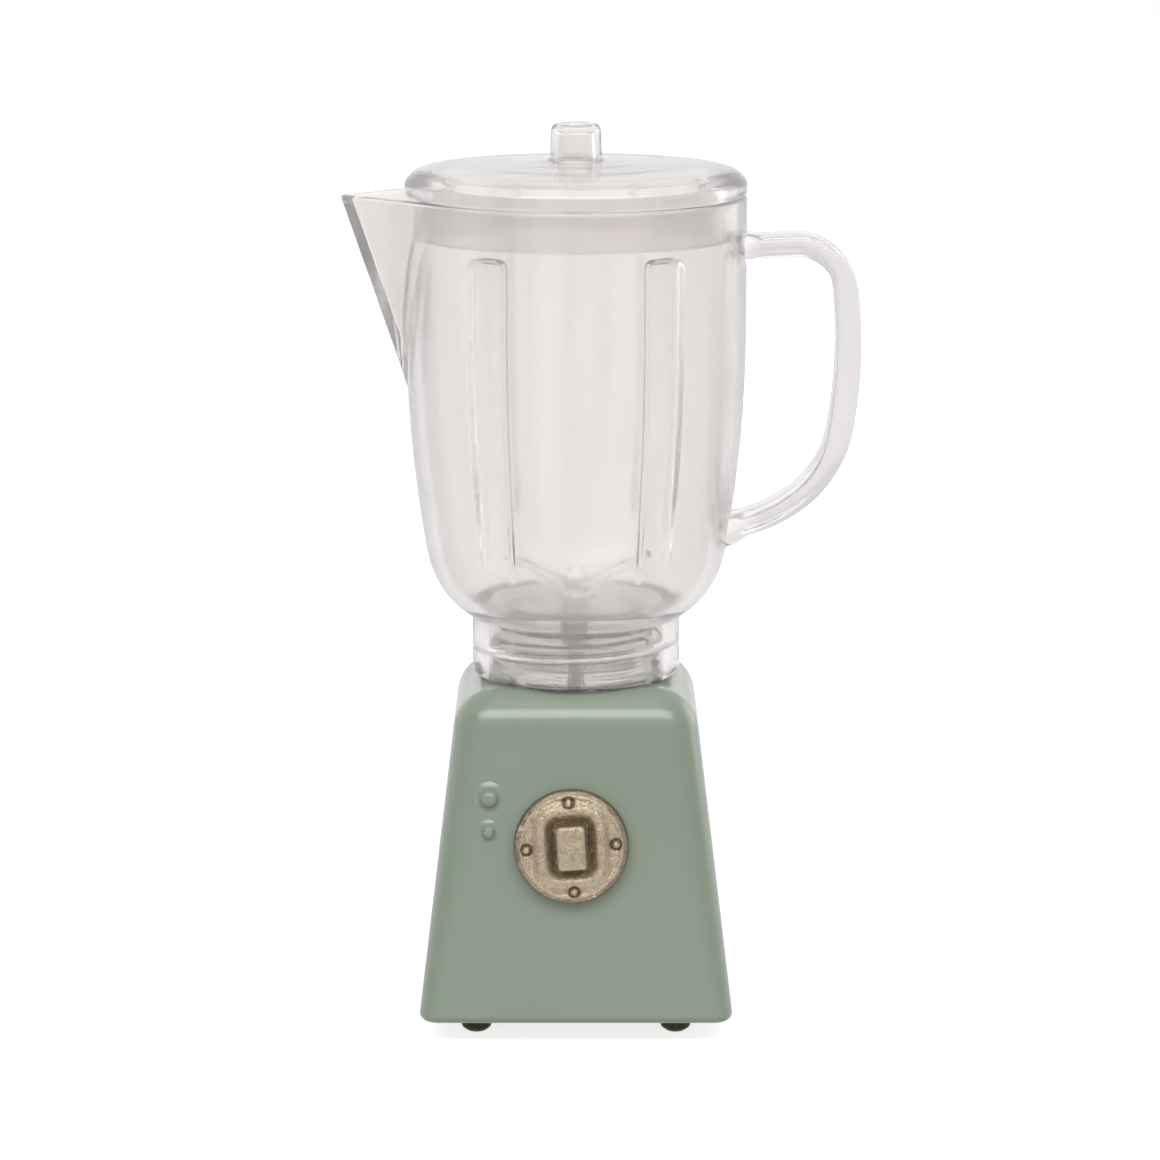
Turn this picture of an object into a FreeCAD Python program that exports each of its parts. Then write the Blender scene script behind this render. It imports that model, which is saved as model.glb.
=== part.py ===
import FreeCAD, Part

import math
import os

import Sketcher

# A doll's house blender, standing on four dome feet. The frame's origin is the point under the
# jug's axis on the surface it stands on: +Z up, the dial faces -Y, the spout -X, the handle +X.

# Driving sizes, in millimetres and degrees. Each is written once and read everywhere else.
SIZES = (
    # housing: tapered four-sided shell
    ("foot_drop", 2.1, "housing's lower edge above the standing surface"),
    ("housing_height", 32.6, "lower edge to flat top"),
    ("housing_foot_half", 15.6, "half width at the lower edge"),
    ("housing_top_half", 11.85, "half width at the top, before rounding"),
    ("housing_round", 3.1, "radius of the upright edges and of the top edge"),
    ("housing_foot_bevel", 0.6, "bevel round the lower edge"),
    ("housing_wall", 1.2, "thickness of the shell"),
    ("post_radius", 1.9, "screw posts inside the housing"),
    ("post_spread", 8.0, "post axis from the jug's axis"),
    # two round bumps beside the dial, each a low boss with a dome on it
    ("bump_high_x", -8.5, "upper bump, from the jug's axis"),
    ("bump_high_up", 22.5, "upper bump above the lower edge"),
    ("bump_high_boss", 1.4, "radius of its boss"),
    ("bump_high_dome", 0.9, "radius of its dome"),
    ("bump_low_x", -8.6, "lower bump, from the jug's axis"),
    ("bump_low_up", 19.2, "lower bump above the lower edge"),
    ("bump_low_boss", 1.0, "radius of its boss"),
    ("bump_low_dome", 0.55, "radius of its dome"),
    ("bump_boss_rise", 0.3, "boss above the front face"),
    ("bump_dome_rise", 0.65, "dome above the front face"),
    # base plate and feet
    ("plate_thickness", 1.5, "base plate"),
    ("plate_recess", 0.5, "plate above the housing's lower edge"),
    ("plate_gap", 0.1, "plate to the shell all round"),
    ("foot_spread", 9.95, "foot axis from the middle, both ways"),
    ("foot_radius", 1.45, "widest part of a foot"),
    ("foot_belly", 1.3, "height of the widest part"),
    ("foot_flat", 0.6, "radius of the flat a foot stands on"),
    ("foot_shoulder", 1.18, "radius where a foot's two slopes meet"),
    ("foot_shoulder_up", 0.45, "height of that meeting"),
    ("foot_stem", 0.9, "radius of the stem pressed into the plate"),
    # screws: cheese heads, plain shanks
    ("screw_radius", 0.6, "shank"),
    ("screw_gap", 0.15, "clearance round a shank"),
    ("screw_bite", 3.0, "shank length in a post or stem"),
    ("head_radius", 1.2, "cheese head"),
    ("head_height", 0.7, "cheese head"),
    ("slot_width", 0.3, "driver slot"),
    ("slot_depth", 0.3, "driver slot"),
    # clear boss on the housing's top
    ("boss_radius", 7.7, "boss wall, under the thread"),
    ("boss_height", 5.1, "boss above the housing's top"),
    ("boss_wall", 1.4, "boss wall"),
    ("boss_floor", 1.1, "web across the boss"),
    ("boss_post_radius", 1.5, "screw posts inside the boss"),
    ("boss_post_height", 3.6, "screw posts above the housing's top"),
    ("boss_screw_spread", 4.3, "screw axis from the jug's axis, along Y"),
    ("boss_chamfer", 0.3, "lead-in at the boss's top edge"),
    # right-hand thread between boss and collar
    ("thread_pitch", 1.7, "rise in one turn"),
    ("thread_depth", 0.8, "height of a ridge"),
    ("thread_root", 0.8, "ridge width at its root"),
    ("thread_crest", 0.4, "ridge width at its crest"),
    ("thread_gap", 0.3, "crest to the facing wall"),
    ("thread_sink", 0.2, "ridge root inside the wall that carries it"),
    ("boss_thread_up", 0.85, "middle of the boss ridge's start above the housing's top"),
    ("boss_thread_turns", 1.9, "turns on the boss"),
    ("collar_thread_turns", 1.5, "turns in the collar"),
    # jug, heights above its collar's foot
    ("seat_gap", 0.1, "collar's foot above the housing's top"),
    ("collar_wall", 1.6, "collar"),
    ("collar_height", 5.4, "collar's foot to where the bowl starts"),
    ("collar_depth", 6.1, "collar's foot to the ceiling inside"),
    ("floor_thickness", 1.5, "jug floor above that ceiling"),
    ("floor_spread", 0.6, "inner floor's edge outside the collar's face"),
    ("shoulder_inset", 2.0, "shoulder's meeting with the wall's lower slope, in from the mouth"),
    ("shoulder_up", 12.2, "height of that meeting"),
    ("brow_in", 0.19, "shoulder's upper corner: share of the way in to the collar's face"),
    ("brow_down", 0.39, "that corner: share of the way down to the collar's top"),
    ("chin_in", 0.53, "shoulder's lower corner: share of the way in"),
    ("chin_down", 0.73, "that corner: share of the way down"),
    ("waist_inset", 0.5, "where the wall's two slopes meet, in from the mouth"),
    ("waist_up", 23.6, "height of that meeting"),
    ("belly_up", 35.0, "height where the wall becomes upright"),
    ("mouth_radius", 16.9, "upright wall and mouth"),
    ("jug_height", 47.9, "collar's foot to rim"),
    ("jug_wall", 1.5, "wall"),
    ("bowl_half", 1.0, "inner shoulder's middle corner, inside the wall's meeting point"),
    ("bowl_half_up", 2.75, "that corner, below the wall's meeting point"),
    ("notch_count", 8, "ratchet notches in the collar's foot"),
    ("notch_length", 2.3, "a notch round the foot"),
    ("notch_height", 0.9, "a notch's steep side"),
    ("notch_steep", 0.3, "a notch's steep side, measured along the foot"),
    ("notch_reach", 1.1, "a notch into the collar's wall"),
    # spout
    ("spout_reach", 6.4, "nose beyond the wall, at the rim"),
    ("spout_nose", 0.75, "radius of the nose at the rim"),
    ("spout_tail", 0.4, "radius of the nose at its lower end"),
    ("spout_drop", 18.7, "length of the nose line below the rim"),
    ("spout_wall", 1.5, "nose thickness"),
    ("spout_throat", 0.35, "radius inside the nose"),
    ("spout_blend", 0.3, "how far the channel's sides cut into the jug's bore"),
    # flutes: arched grooves pressed into the wall
    ("flute_angle", 33.0, "flute from the front or the back"),
    ("flute_radius", 2.3, "groove"),
    ("flute_depth", 1.2, "groove into the upright wall"),
    ("flute_lean", 1.9, "groove towards the axis, going down"),
    ("flute_gap", 0.25, "rib's top under the lid's plug"),
    # handle: a strap, its middle line
    ("handle_thickness", 2.15, "strap"),
    ("handle_width", 6.0, "strap"),
    ("handle_bevel", 0.6, "strap's edges"),
    ("handle_root", 1.1, "strap's upper end inside the jug's wall"),
    ("handle_rise", 3.0, "slope of the top arm"),
    ("handle_top", 42.9, "height of the top bend's start"),
    ("handle_bend", 5.3, "top bend's start beyond the wall"),
    ("handle_reach", 10.2, "grip's upper end beyond the wall"),
    ("handle_shoulder", 38.5, "grip's upper end"),
    ("handle_grip", 9.25, "grip's lower end beyond the wall"),
    ("handle_grip_up", 23.0, "grip's lower end"),
    ("handle_foot", 2.7, "strap's lower end, in from the mouth"),
    ("handle_foot_up", 13.85, "strap's lower end"),
    # lid
    ("lid_gap", 0.05, "lid's rim above the jug's rim"),
    ("lid_wall", 1.1, "lid"),
    ("lid_rim", 1.3, "upright part of the rim"),
    ("lid_round", 1.4, "slopes of the rim's upper edge, inwards"),
    ("lid_round_rise", 1.25, "slopes of the rim's upper edge, upwards"),
    ("lid_round_share", 0.3, "lower slope's share of that width"),
    ("lid_crown", 3.4, "dome's middle above the rim's underside"),
    ("plug_depth", 4.2, "plug below the lid's rim"),
    ("plug_gap", 0.1, "plug to the jug's bore"),
    ("plug_wall", 1.1, "plug"),
    ("knob_foot", 2.6, "knob radius at the dome"),
    ("knob_top", 2.4, "knob radius at its top"),
    ("knob_height", 3.85, "knob above the dome's middle"),
    ("knob_bevel", 0.35, "knob's upper edge"),
    ("knob_wall", 0.8, "knob"),
    # blade star
    ("blade_stem", 1.15, "stem in the jug's floor"),
    ("blade_stem_gap", 0.05, "clearance round the stem"),
    ("blade_float", 0.1, "play along the stem"),
    ("barb_radius", 1.5, "snap barb under the floor"),
    ("barb_height", 0.8, "snap barb"),
    ("hub_radius", 1.9, "hub on the floor"),
    ("hub_height", 1.3, "hub on the floor"),
    ("blade_reach", 7.6, "blade tip from the axis"),
    ("blade_root", 1.5, "half width of a blade at the hub"),
    ("blade_tip", 0.5, "half width of a blade at its tip"),
    ("blade_thickness", 0.6, "blade"),
    ("blade_up", 0.45, "blade's underside above the floor, at the axis"),
    ("blade_steep", 26.0, "rise of the first pair of blades"),
    ("blade_shallow", 6.0, "rise of the second pair of blades"),
    # dial
    ("dial_x", -0.45, "dial axis from the jug's axis"),
    ("dial_up", 17.8, "dial axis above the housing's lower edge"),
    ("dial_rest", 3.8, "how far the dial stands turned"),
    ("dial_gap", 0.1, "dial's back to the front face"),
    ("dial_radius", 5.7, "plate"),
    ("dial_thickness", 1.15, "plate"),
    ("dial_bevel", 0.55, "plate's front edge"),
    ("rivet_count", 4, "dome rivets"),
    ("rivet_circle", 4.43, "rivets from the dial's axis"),
    ("rivet_radius", 0.45, "a rivet at the plate"),
    ("rivet_top", 0.22, "a rivet at its top"),
    ("rivet_rise", 0.35, "a rivet above the plate"),
    ("ring_width", 6.2, "raised frame round the key"),
    ("ring_length", 7.7, "raised frame round the key"),
    ("ring_corner", 1.5, "frame's outer corners"),
    ("ring_band", 1.1, "frame's own width"),
    ("ring_rise", 0.45, "frame above the plate"),
    ("key_width", 2.9, "key"),
    ("key_length", 4.4, "key"),
    ("key_corner", 0.35, "key's upright edges"),
    ("key_rise", 1.3, "key above the plate"),
    ("key_bevel", 0.25, "key's front edge"),
    ("stem_radius", 1.5, "dial's stem"),
    ("stem_gap", 0.05, "clearance round the stem"),
    ("dial_screw_bite", 1.8, "screw in the stem"),
    ("dial_screw_head", 2.1, "radius of its head, which holds the washer"),
    ("washer_radius", 2.9, "washer behind the front wall"),
    ("washer_thickness", 0.4, "washer behind the front wall"),
    ("washer_play", 0.1, "washer to the front wall"),
)

# What follows from the driving sizes, as expressions on the sheet.
SLOPE = "atan((size.housing_foot_half - size.housing_top_half) / size.housing_height)"
HOUSING_TOP = "(size.foot_drop + size.housing_height)"
JUG_FOOT = f"({HOUSING_TOP} + size.seat_gap)"
LID_SEAT = f"({JUG_FOOT} + size.jug_height + size.lid_gap)"
PLATE_TOP = "(size.plate_recess + size.plate_thickness)"
COLLAR_BORE = "(size.boss_radius + size.thread_depth + size.thread_gap)"
COLLAR_FACE = f"({COLLAR_BORE} + size.collar_wall)"
JUG_FLOOR = "(size.collar_depth + size.floor_thickness)"
BORE = "(size.mouth_radius - size.jug_wall)"
SHOULDER = "(size.mouth_radius - size.shoulder_inset)"
WAIST = "(size.mouth_radius - size.waist_inset)"
HANDLE_BEND = "(size.mouth_radius + size.handle_bend)"
INNER_FOOT_HALF = f"(size.housing_foot_half - size.housing_wall / cos({SLOPE}))"
STEM_DEPTH = "(size.housing_wall + size.washer_play + size.washer_thickness)"
X_AXIS, Y_AXIS, Z_AXIS = FreeCAD.Vector(1, 0, 0), FreeCAD.Vector(0, 1, 0), FreeCAD.Vector(0, 0, 1)
TURN = 2 * math.pi

doc = FreeCAD.newDocument("toy_blender")


def make_sheet():
    """Put the driving sizes into a spreadsheet, one row each: name, value, meaning."""
    sheet = doc.addObject("Spreadsheet::Sheet", "size")
    for row, (alias, value, meaning) in enumerate(SIZES, start=1):
        sheet.set(f"A{row}", alias)
        sheet.set(f"B{row}", str(value))
        sheet.set(f"C{row}", meaning)
        sheet.setAlias(f"B{row}", alias)
    doc.recompute()
    return sheet


size = make_sheet()


def value(expression):
    """The number that an expression on the sheet gives."""
    result = size.evalExpression(str(expression))
    return float(getattr(result, "Value", result))


def bind(thing, **expressions):
    """Tie properties to expressions on the sheet; a double underscore stands for a dot."""
    for path, expression in expressions.items():
        thing.setExpression(path.replace("__", "."), str(expression))


def new_body(label):
    body = doc.addObject("PartDesign::Body", label)
    body.Label = label
    return body


def origin_feature(body, role):
    return next(part for part in body.Origin.OriginFeatures if part.Role == role)


def attach(thing, body, role, offset, axis, turn):
    """Attach a sketch or a primitive to an origin plane, moved and then turned by expressions."""
    thing.AttachmentSupport = [(origin_feature(body, role), "")]
    thing.MapMode = "FlatFace"
    start = FreeCAD.Vector(*(value(part) for part in offset))
    thing.AttachmentOffset = FreeCAD.Placement(start, FreeCAD.Rotation(axis, value(turn)))
    for letter, part in zip("xyz", offset):
        if str(part) != "0":
            thing.setExpression(f"AttachmentOffset.Base.{letter}", str(part))
    if str(turn) != "0":
        thing.setExpression("AttachmentOffset.Rotation.Angle", str(turn))


def new_sketch(body, name, role="XZ_Plane", offset=(0, 0, 0), axis=Z_AXIS, turn=0):
    sketch = body.newObject("Sketcher::SketchObject", name)
    attach(sketch, body, role, offset, axis, turn)
    return sketch


def tie(sketch, kind, geometry, point, expression):
    """Hold one coordinate of a point at an expression, whichever side of the origin it is on."""
    amount = value(expression)
    if abs(amount) < 1e-9:
        sketch.addConstraint(Sketcher.Constraint(kind, -1, 1, geometry, point, 0.0))
        return
    ends = (-1, 1, geometry, point) if amount > 0 else (geometry, point, -1, 1)
    signed = expression if amount > 0 else f"-({expression})"
    index = sketch.addConstraint(Sketcher.Constraint(kind, *ends, abs(amount)))
    sketch.renameConstraint(index, f"{kind}_{index}")
    sketch.setExpression(f"Constraints.{kind}_{index}", str(signed))


def arc_through(start, end, centre, anticlockwise):
    """The arc from start to end round centre. Sketcher keeps its arcs anticlockwise."""
    first, last = (start, end) if anticlockwise else (end, start)
    radius = math.dist(centre, start)
    angles = [math.atan2(v - centre[1], u - centre[0]) for u, v in (first, last)]
    if angles[1] < angles[0]:
        angles[1] += TURN
    circle = Part.Circle(FreeCAD.Vector(*centre, 0), Z_AXIS, radius)
    return Part.ArcOfCircle(circle, *angles)


def draw(sketch, steps, closed=True):
    """Draw a chain of lines and arcs whose corners are tied to the sheet.

    A step is (u, v) for a line to that corner, (u, v, "tangent") for an arc that leaves in the
    direction of the run before it, or (u, v, radius) for an arc of that radius, positive when
    it turns anticlockwise. The first step is where the chain starts.
    """
    corners = [(value(step[0]), value(step[1])) for step in steps]
    runs = list(range(1, len(steps))) + ([0] if closed else [])
    heading, ends, first = None, [], sketch.GeometryCount
    for run in runs:
        start, end = corners[run - 1], corners[run]
        bend = steps[run][2] if len(steps[run]) > 2 else None
        chord = (end[0] - start[0], end[1] - start[1])
        index = first + len(ends)
        if bend is None:
            points = [FreeCAD.Vector(*corner, 0) for corner in (start, end)]
            sketch.addGeometry(Part.LineSegment(*points))
            heading = math.atan2(chord[1], chord[0])
            ends.append((1, 2))
            continue
        length = math.hypot(*chord)
        if bend == "tangent":
            half_turn = math.remainder(math.atan2(chord[1], chord[0]) - heading, TURN)
        else:
            half_turn = math.asin(length / 2 / value(bend))
            heading = math.atan2(chord[1], chord[0]) - half_turn
        radius = length / 2 / math.sin(half_turn)
        centre = (start[0] - radius * math.sin(heading), start[1] + radius * math.cos(heading))
        sketch.addGeometry(arc_through(start, end, centre, radius > 0))
        ends.append((1, 2) if radius > 0 else (2, 1))
        heading += 2 * half_turn
        if bend != "tangent":
            ring = sketch.addConstraint(Sketcher.Constraint("Radius", index, abs(radius)))
            sketch.renameConstraint(ring, f"radius_{ring}")
            sketch.setExpression(f"Constraints.radius_{ring}", f"abs({bend})")
    for place, run in enumerate(runs):
        before = place - 1
        if place or closed:
            kind = "Tangent" if "tangent" in steps[run][2:] else "Coincident"
            pair = (first + before % len(ends), ends[before][1], first + place, ends[place][0])
            sketch.addConstraint(Sketcher.Constraint(kind, *pair))
        tie(sketch, "DistanceX", first + place, ends[place][0], steps[run - 1][0])
        tie(sketch, "DistanceY", first + place, ends[place][0], steps[run - 1][1])
    if not closed:
        tie(sketch, "DistanceX", first + len(ends) - 1, ends[-1][1], steps[-1][0])
        tie(sketch, "DistanceY", first + len(ends) - 1, ends[-1][1], steps[-1][1])


def draw_circle(sketch, u, v, radius):
    centre = FreeCAD.Vector(value(u), value(v), 0)
    index = sketch.addGeometry(Part.Circle(centre, Z_AXIS, value(radius)))
    tie(sketch, "DistanceX", index, 3, u)
    tie(sketch, "DistanceY", index, 3, v)
    ring = sketch.addConstraint(Sketcher.Constraint("Radius", index, value(radius)))
    sketch.renameConstraint(ring, f"radius_{ring}")
    sketch.setExpression(f"Constraints.radius_{ring}", str(radius))


def draw_box(sketch, half_u, half_v, corner, rounded=True):
    """A rectangle about the sketch's origin with round or cut-off corners."""
    steps = []
    for u, v in ((1, 1), (-1, 1), (-1, -1), (1, -1)):
        along = (f"{u} * ({half_u} - {corner})", f"{v} * ({half_v})")
        upright = (f"{u} * ({half_u})", f"{v} * ({half_v} - {corner})")
        leave, enter = (upright, along) if u * v > 0 else (along, upright)
        steps += [leave, (*enter, corner) if rounded else enter]
    draw(sketch, steps)


def revolve(body, name, sketch):
    """Turn a profile right round the sketch's upright axis."""
    feature = body.newObject("PartDesign::Revolution", name)
    feature.Profile = sketch
    feature.ReferenceAxis = (sketch, ["V_Axis"])
    feature.Angle = 360
    return feature


def extrude(body, name, sketch, length, kind="Pad", inwards=False):
    feature = body.newObject(f"PartDesign::{kind}", name)
    feature.Profile = sketch
    feature.Reversed = inwards
    bind(feature, Length=length)
    return feature


def loft(body, name, sections):
    feature = body.newObject("PartDesign::AdditiveLoft", name)
    feature.Profile = sections[0]
    feature.Sections = sections[1:]
    feature.Ruled = True
    return feature


def ring_of(body, name, feature, count):
    """Repeat a feature right round the body's Z axis."""
    pattern = body.newObject("PartDesign::PolarPattern", name)
    pattern.Originals = [feature]
    pattern.Axis = (origin_feature(body, "Z_Axis"), [""])
    pattern.Angle = 360
    bind(pattern, Occurrences=count)
    body.Tip = pattern
    return pattern


def ease_edges(body, name, amount, wanted, kind="Fillet"):
    """Fillet or chamfer the edges of the body so far that the test picks out."""
    doc.recompute()
    base = body.Tip
    edges = enumerate(base.Shape.Edges, start=1)
    names = [f"Edge{index}" for index, edge in edges if wanted(edge.BoundBox)]
    feature = body.newObject(f"PartDesign::{kind}", name)
    feature.Base = (base, names)
    bind(feature, **{"Radius" if kind == "Fillet" else "Size": amount})
    return feature


def flat_at(height):
    """A test for edges that lie flat at a height."""
    level = value(height)
    return lambda box: abs(box.ZMin - level) < 1e-4 and abs(box.ZMax - level) < 1e-4


def spiral_ridge(body, name, wall, rise, start, turns):
    """Wind a tapered ridge round the Z axis; it stands `rise` from the wall, out or in."""
    side = 1 if value(rise) > 0 else -1
    root = f"({wall} - {side} * size.thread_sink)"
    crest = f"({wall} + {rise})"
    profile = new_sketch(body, f"{name}_profile")
    draw(profile, [
        (root, f"{start} - size.thread_root / 2"),
        (crest, f"{start} - size.thread_crest / 2"),
        (crest, f"{start} + size.thread_crest / 2"),
        (root, f"{start} + size.thread_root / 2"),
    ])
    ridge = body.newObject("PartDesign::AdditiveHelix", name)
    ridge.Profile = profile
    ridge.ReferenceAxis = (profile, ["V_Axis"])
    ridge.Mode = "pitch-turns-angle"
    bind(ridge, Pitch="size.thread_pitch", Turns=turns)
    return ridge


def on_front(across, up):
    """Offset and turn of a frame on the housing's sloping front, its Z axis outwards."""
    depth = f"-(size.housing_foot_half - ({up}) * tan({SLOPE}))"
    return {"offset": (across, depth, up), "axis": X_AXIS, "turn": f"90 deg - {SLOPE}"}


def place_body(body, offset, axis=Z_AXIS, turn=0):
    start = FreeCAD.Vector(*(value(part) for part in offset))
    body.Placement = FreeCAD.Placement(start, FreeCAD.Rotation(axis, value(turn)))
    for letter, part in zip("xyz", offset):
        if str(part) != "0":
            body.setExpression(f"Placement.Base.{letter}", str(part))
    if str(turn) != "0":
        body.setExpression("Placement.Rotation.Angle", str(turn))


def leaning_block(label, foot_half, height, radius):
    """A square block whose sides lean in as the housing's do, its upper edges rounded."""
    body = new_body(label)
    wedge = body.newObject("PartDesign::AdditiveWedge", f"{label}_wedge")
    attach(wedge, body, "XZ_Plane", (0, 0, 0), Z_AXIS, 0)
    top_half = f"({foot_half} - {height} * tan({SLOPE}))"
    bind(wedge, Xmin=f"-{foot_half}", Xmax=foot_half, Zmin=f"-{foot_half}", Zmax=foot_half,
         X2min=f"-{top_half}", X2max=top_half, Z2min=f"-{top_half}", Z2max=top_half,
         Ymin=0, Ymax=height)
    middle = value(f"{height} / 2")
    ease_edges(body, f"{label}_round", radius, lambda box: box.ZMax > middle)
    return body


def make_housing():
    """Tapered shell, open below, with two screw posts, two bumps and the dial's bore."""
    body = leaning_block("housing", "size.housing_foot_half", "size.housing_height",
                         "size.housing_round")
    ease_edges(body, "foot_bevel", "size.housing_foot_bevel", flat_at(0), "Chamfer")
    roof = "(size.housing_height - size.housing_wall)"
    space = leaning_block("housing_space", INNER_FOOT_HALF, roof,
                          "(size.housing_round - size.housing_wall)")
    hollow = body.newObject("PartDesign::Boolean", "hollow")
    hollow.Type = "Cut"
    hollow.addObjects([space])

    posts = new_sketch(body, "posts_outline", "XY_Plane", (0, 0, PLATE_TOP))
    for side in (1, -1):
        draw_circle(posts, f"{side} * size.post_spread", 0, "size.post_radius")
    extrude(body, "posts", posts, f"{roof} - {PLATE_TOP} + size.housing_wall / 2")
    pilots = new_sketch(body, "pilots_outline", "XY_Plane", (0, 0, PLATE_TOP))
    for side in (1, -1):
        draw_circle(pilots, f"{side} * size.post_spread", 0, "size.screw_radius")
    extrude(body, "pilots", pilots, "size.screw_bite + size.screw_gap", "Pocket", inwards=True)

    holes = new_sketch(body, "roof_holes_outline", "XY_Plane", (0, 0, "size.housing_height"))
    for side in (1, -1):
        draw_circle(holes, 0, f"{side} * size.boss_screw_spread", "size.screw_radius + size.screw_gap")
    extrude(body, "roof_holes", holes, "size.housing_wall * 2", "Pocket")

    bore = new_sketch(body, "dial_bore_outline", "XY_Plane", **on_front("size.dial_x", "size.dial_up"))
    draw_circle(bore, 0, 0, "size.stem_radius + size.stem_gap")
    extrude(body, "dial_bore", bore, "size.housing_wall * 2", "Pocket")

    for which in ("high", "low"):
        place = on_front(f"size.bump_{which}_x", f"size.bump_{which}_up")
        for tier in ("boss", "dome"):
            bump = body.newObject("PartDesign::AdditiveCone", f"bump_{which}_{tier}")
            attach(bump, body, "XY_Plane", **place)
            foot_radius, rise = f"size.bump_{which}_{tier}", f"size.bump_{tier}_rise"
            bind(bump, Radius1=foot_radius, Height=rise, Radius2=f"({foot_radius} - {rise} / 2)")
    place_body(body, (0, 0, "size.foot_drop"))
    return body


def make_base_plate():
    """Flat plate in the housing's foot, with sunk screw holes and the holes for the feet."""
    body = new_body("base_plate")
    half = f"({INNER_FOOT_HALF} - {PLATE_TOP} * tan({SLOPE}) - size.plate_gap)"
    outline = new_sketch(body, "plate_outline", "XY_Plane")
    draw_box(outline, half, half, "(size.housing_round - size.housing_wall)")
    extrude(body, "plate", outline, "size.plate_thickness")
    holes = new_sketch(body, "holes_outline", "XY_Plane")
    for side in (1, -1):
        draw_circle(holes, f"{side} * size.post_spread", 0, "size.screw_radius + size.screw_gap")
        for end in (1, -1):
            draw_circle(holes, f"{side} * size.foot_spread", f"{end} * size.foot_spread",
                        "size.foot_stem")
    extrude(body, "holes", holes, "size.plate_thickness", "Pocket", inwards=True)
    sinks = new_sketch(body, "sinks_outline", "XY_Plane")
    for side in (1, -1):
        draw_circle(sinks, f"{side} * size.post_spread", 0, "size.head_radius + size.screw_gap")
    extrude(body, "sinks", sinks, "size.plate_thickness / 2", "Pocket", inwards=True)
    place_body(body, (0, 0, "size.foot_drop + size.plate_recess"))
    return body


def make_foot(label, side, end):
    """Dome foot with a small flat to stand on and a stem pressed into the base plate."""
    body = new_body(label)
    profile = new_sketch(body, "foot_profile")
    plate = "(size.foot_drop + size.plate_recess)"
    stem_top = f"({plate} + size.plate_thickness)"
    draw(profile, [
        (0, 0),
        ("size.foot_flat", 0),
        ("size.foot_shoulder", "size.foot_shoulder_up"),
        ("size.foot_radius", "size.foot_belly"),
        ("size.foot_radius", plate),
        ("size.foot_stem", plate),
        ("size.foot_stem", stem_top),
        (0, stem_top),
    ])
    revolve(body, "foot_form", profile)
    place_body(body, (f"{side} * size.foot_spread", f"{end} * size.foot_spread", 0))
    return body


def make_screws(label, places, shank, head_radius="size.head_radius"):
    """Slotted cheese-head screws at the given places, their shanks upwards from the XY plane."""
    body = new_body(label)
    body.AllowCompound = True
    heads = new_sketch(body, "heads_outline", "XY_Plane", (0, 0, "-size.head_height"))
    shanks = new_sketch(body, "shanks_outline", "XY_Plane")
    for across, along in places:
        draw_circle(heads, across, along, head_radius)
        draw_circle(shanks, across, along, "size.screw_radius")
    extrude(body, "heads", heads, "size.head_height")
    extrude(body, "shanks", shanks, shank)
    for which, (across, along) in enumerate(places):
        slot = new_sketch(body, f"slot_{which}_outline", "XY_Plane",
                          (across, along, "-size.head_height"))
        ends = [(f"{side} * 2 * {head_radius}", f"{up} * size.slot_width / 2")
                for side, up in ((1, 1), (-1, 1), (-1, -1), (1, -1))]
        draw(slot, ends)
        extrude(body, f"slot_{which}", slot, "size.slot_depth", "Pocket", inwards=True)
    return body


def make_neck_boss():
    """Clear cup on the housing's top with the outside thread and two screw posts inside."""
    body = new_body("neck_boss")
    profile = new_sketch(body, "boss_profile")
    inner = "(size.boss_radius - size.boss_wall)"
    draw(profile, [
        (0, 0),
        ("size.boss_radius", 0),
        ("size.boss_radius", "size.boss_height - size.boss_chamfer"),
        ("size.boss_radius - size.boss_chamfer", "size.boss_height"),
        (inner, "size.boss_height"),
        (inner, "size.boss_floor"),
        (0, "size.boss_floor"),
    ])
    revolve(body, "cup", profile)
    posts = new_sketch(body, "posts_outline", "XY_Plane")
    for side in (1, -1):
        draw_circle(posts, 0, f"{side} * size.boss_screw_spread", "size.boss_post_radius")
    extrude(body, "posts", posts, "size.boss_post_height")
    pilots = new_sketch(body, "pilots_outline", "XY_Plane")
    for side in (1, -1):
        draw_circle(pilots, 0, f"{side} * size.boss_screw_spread", "size.screw_radius")
    extrude(body, "pilots", pilots, "size.screw_bite + size.screw_gap", "Pocket", inwards=True)
    spiral_ridge(body, "thread", "size.boss_radius", "size.thread_depth",
                 "size.boss_thread_up", "size.boss_thread_turns")
    place_body(body, (0, 0, HOUSING_TOP))
    return body


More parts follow.
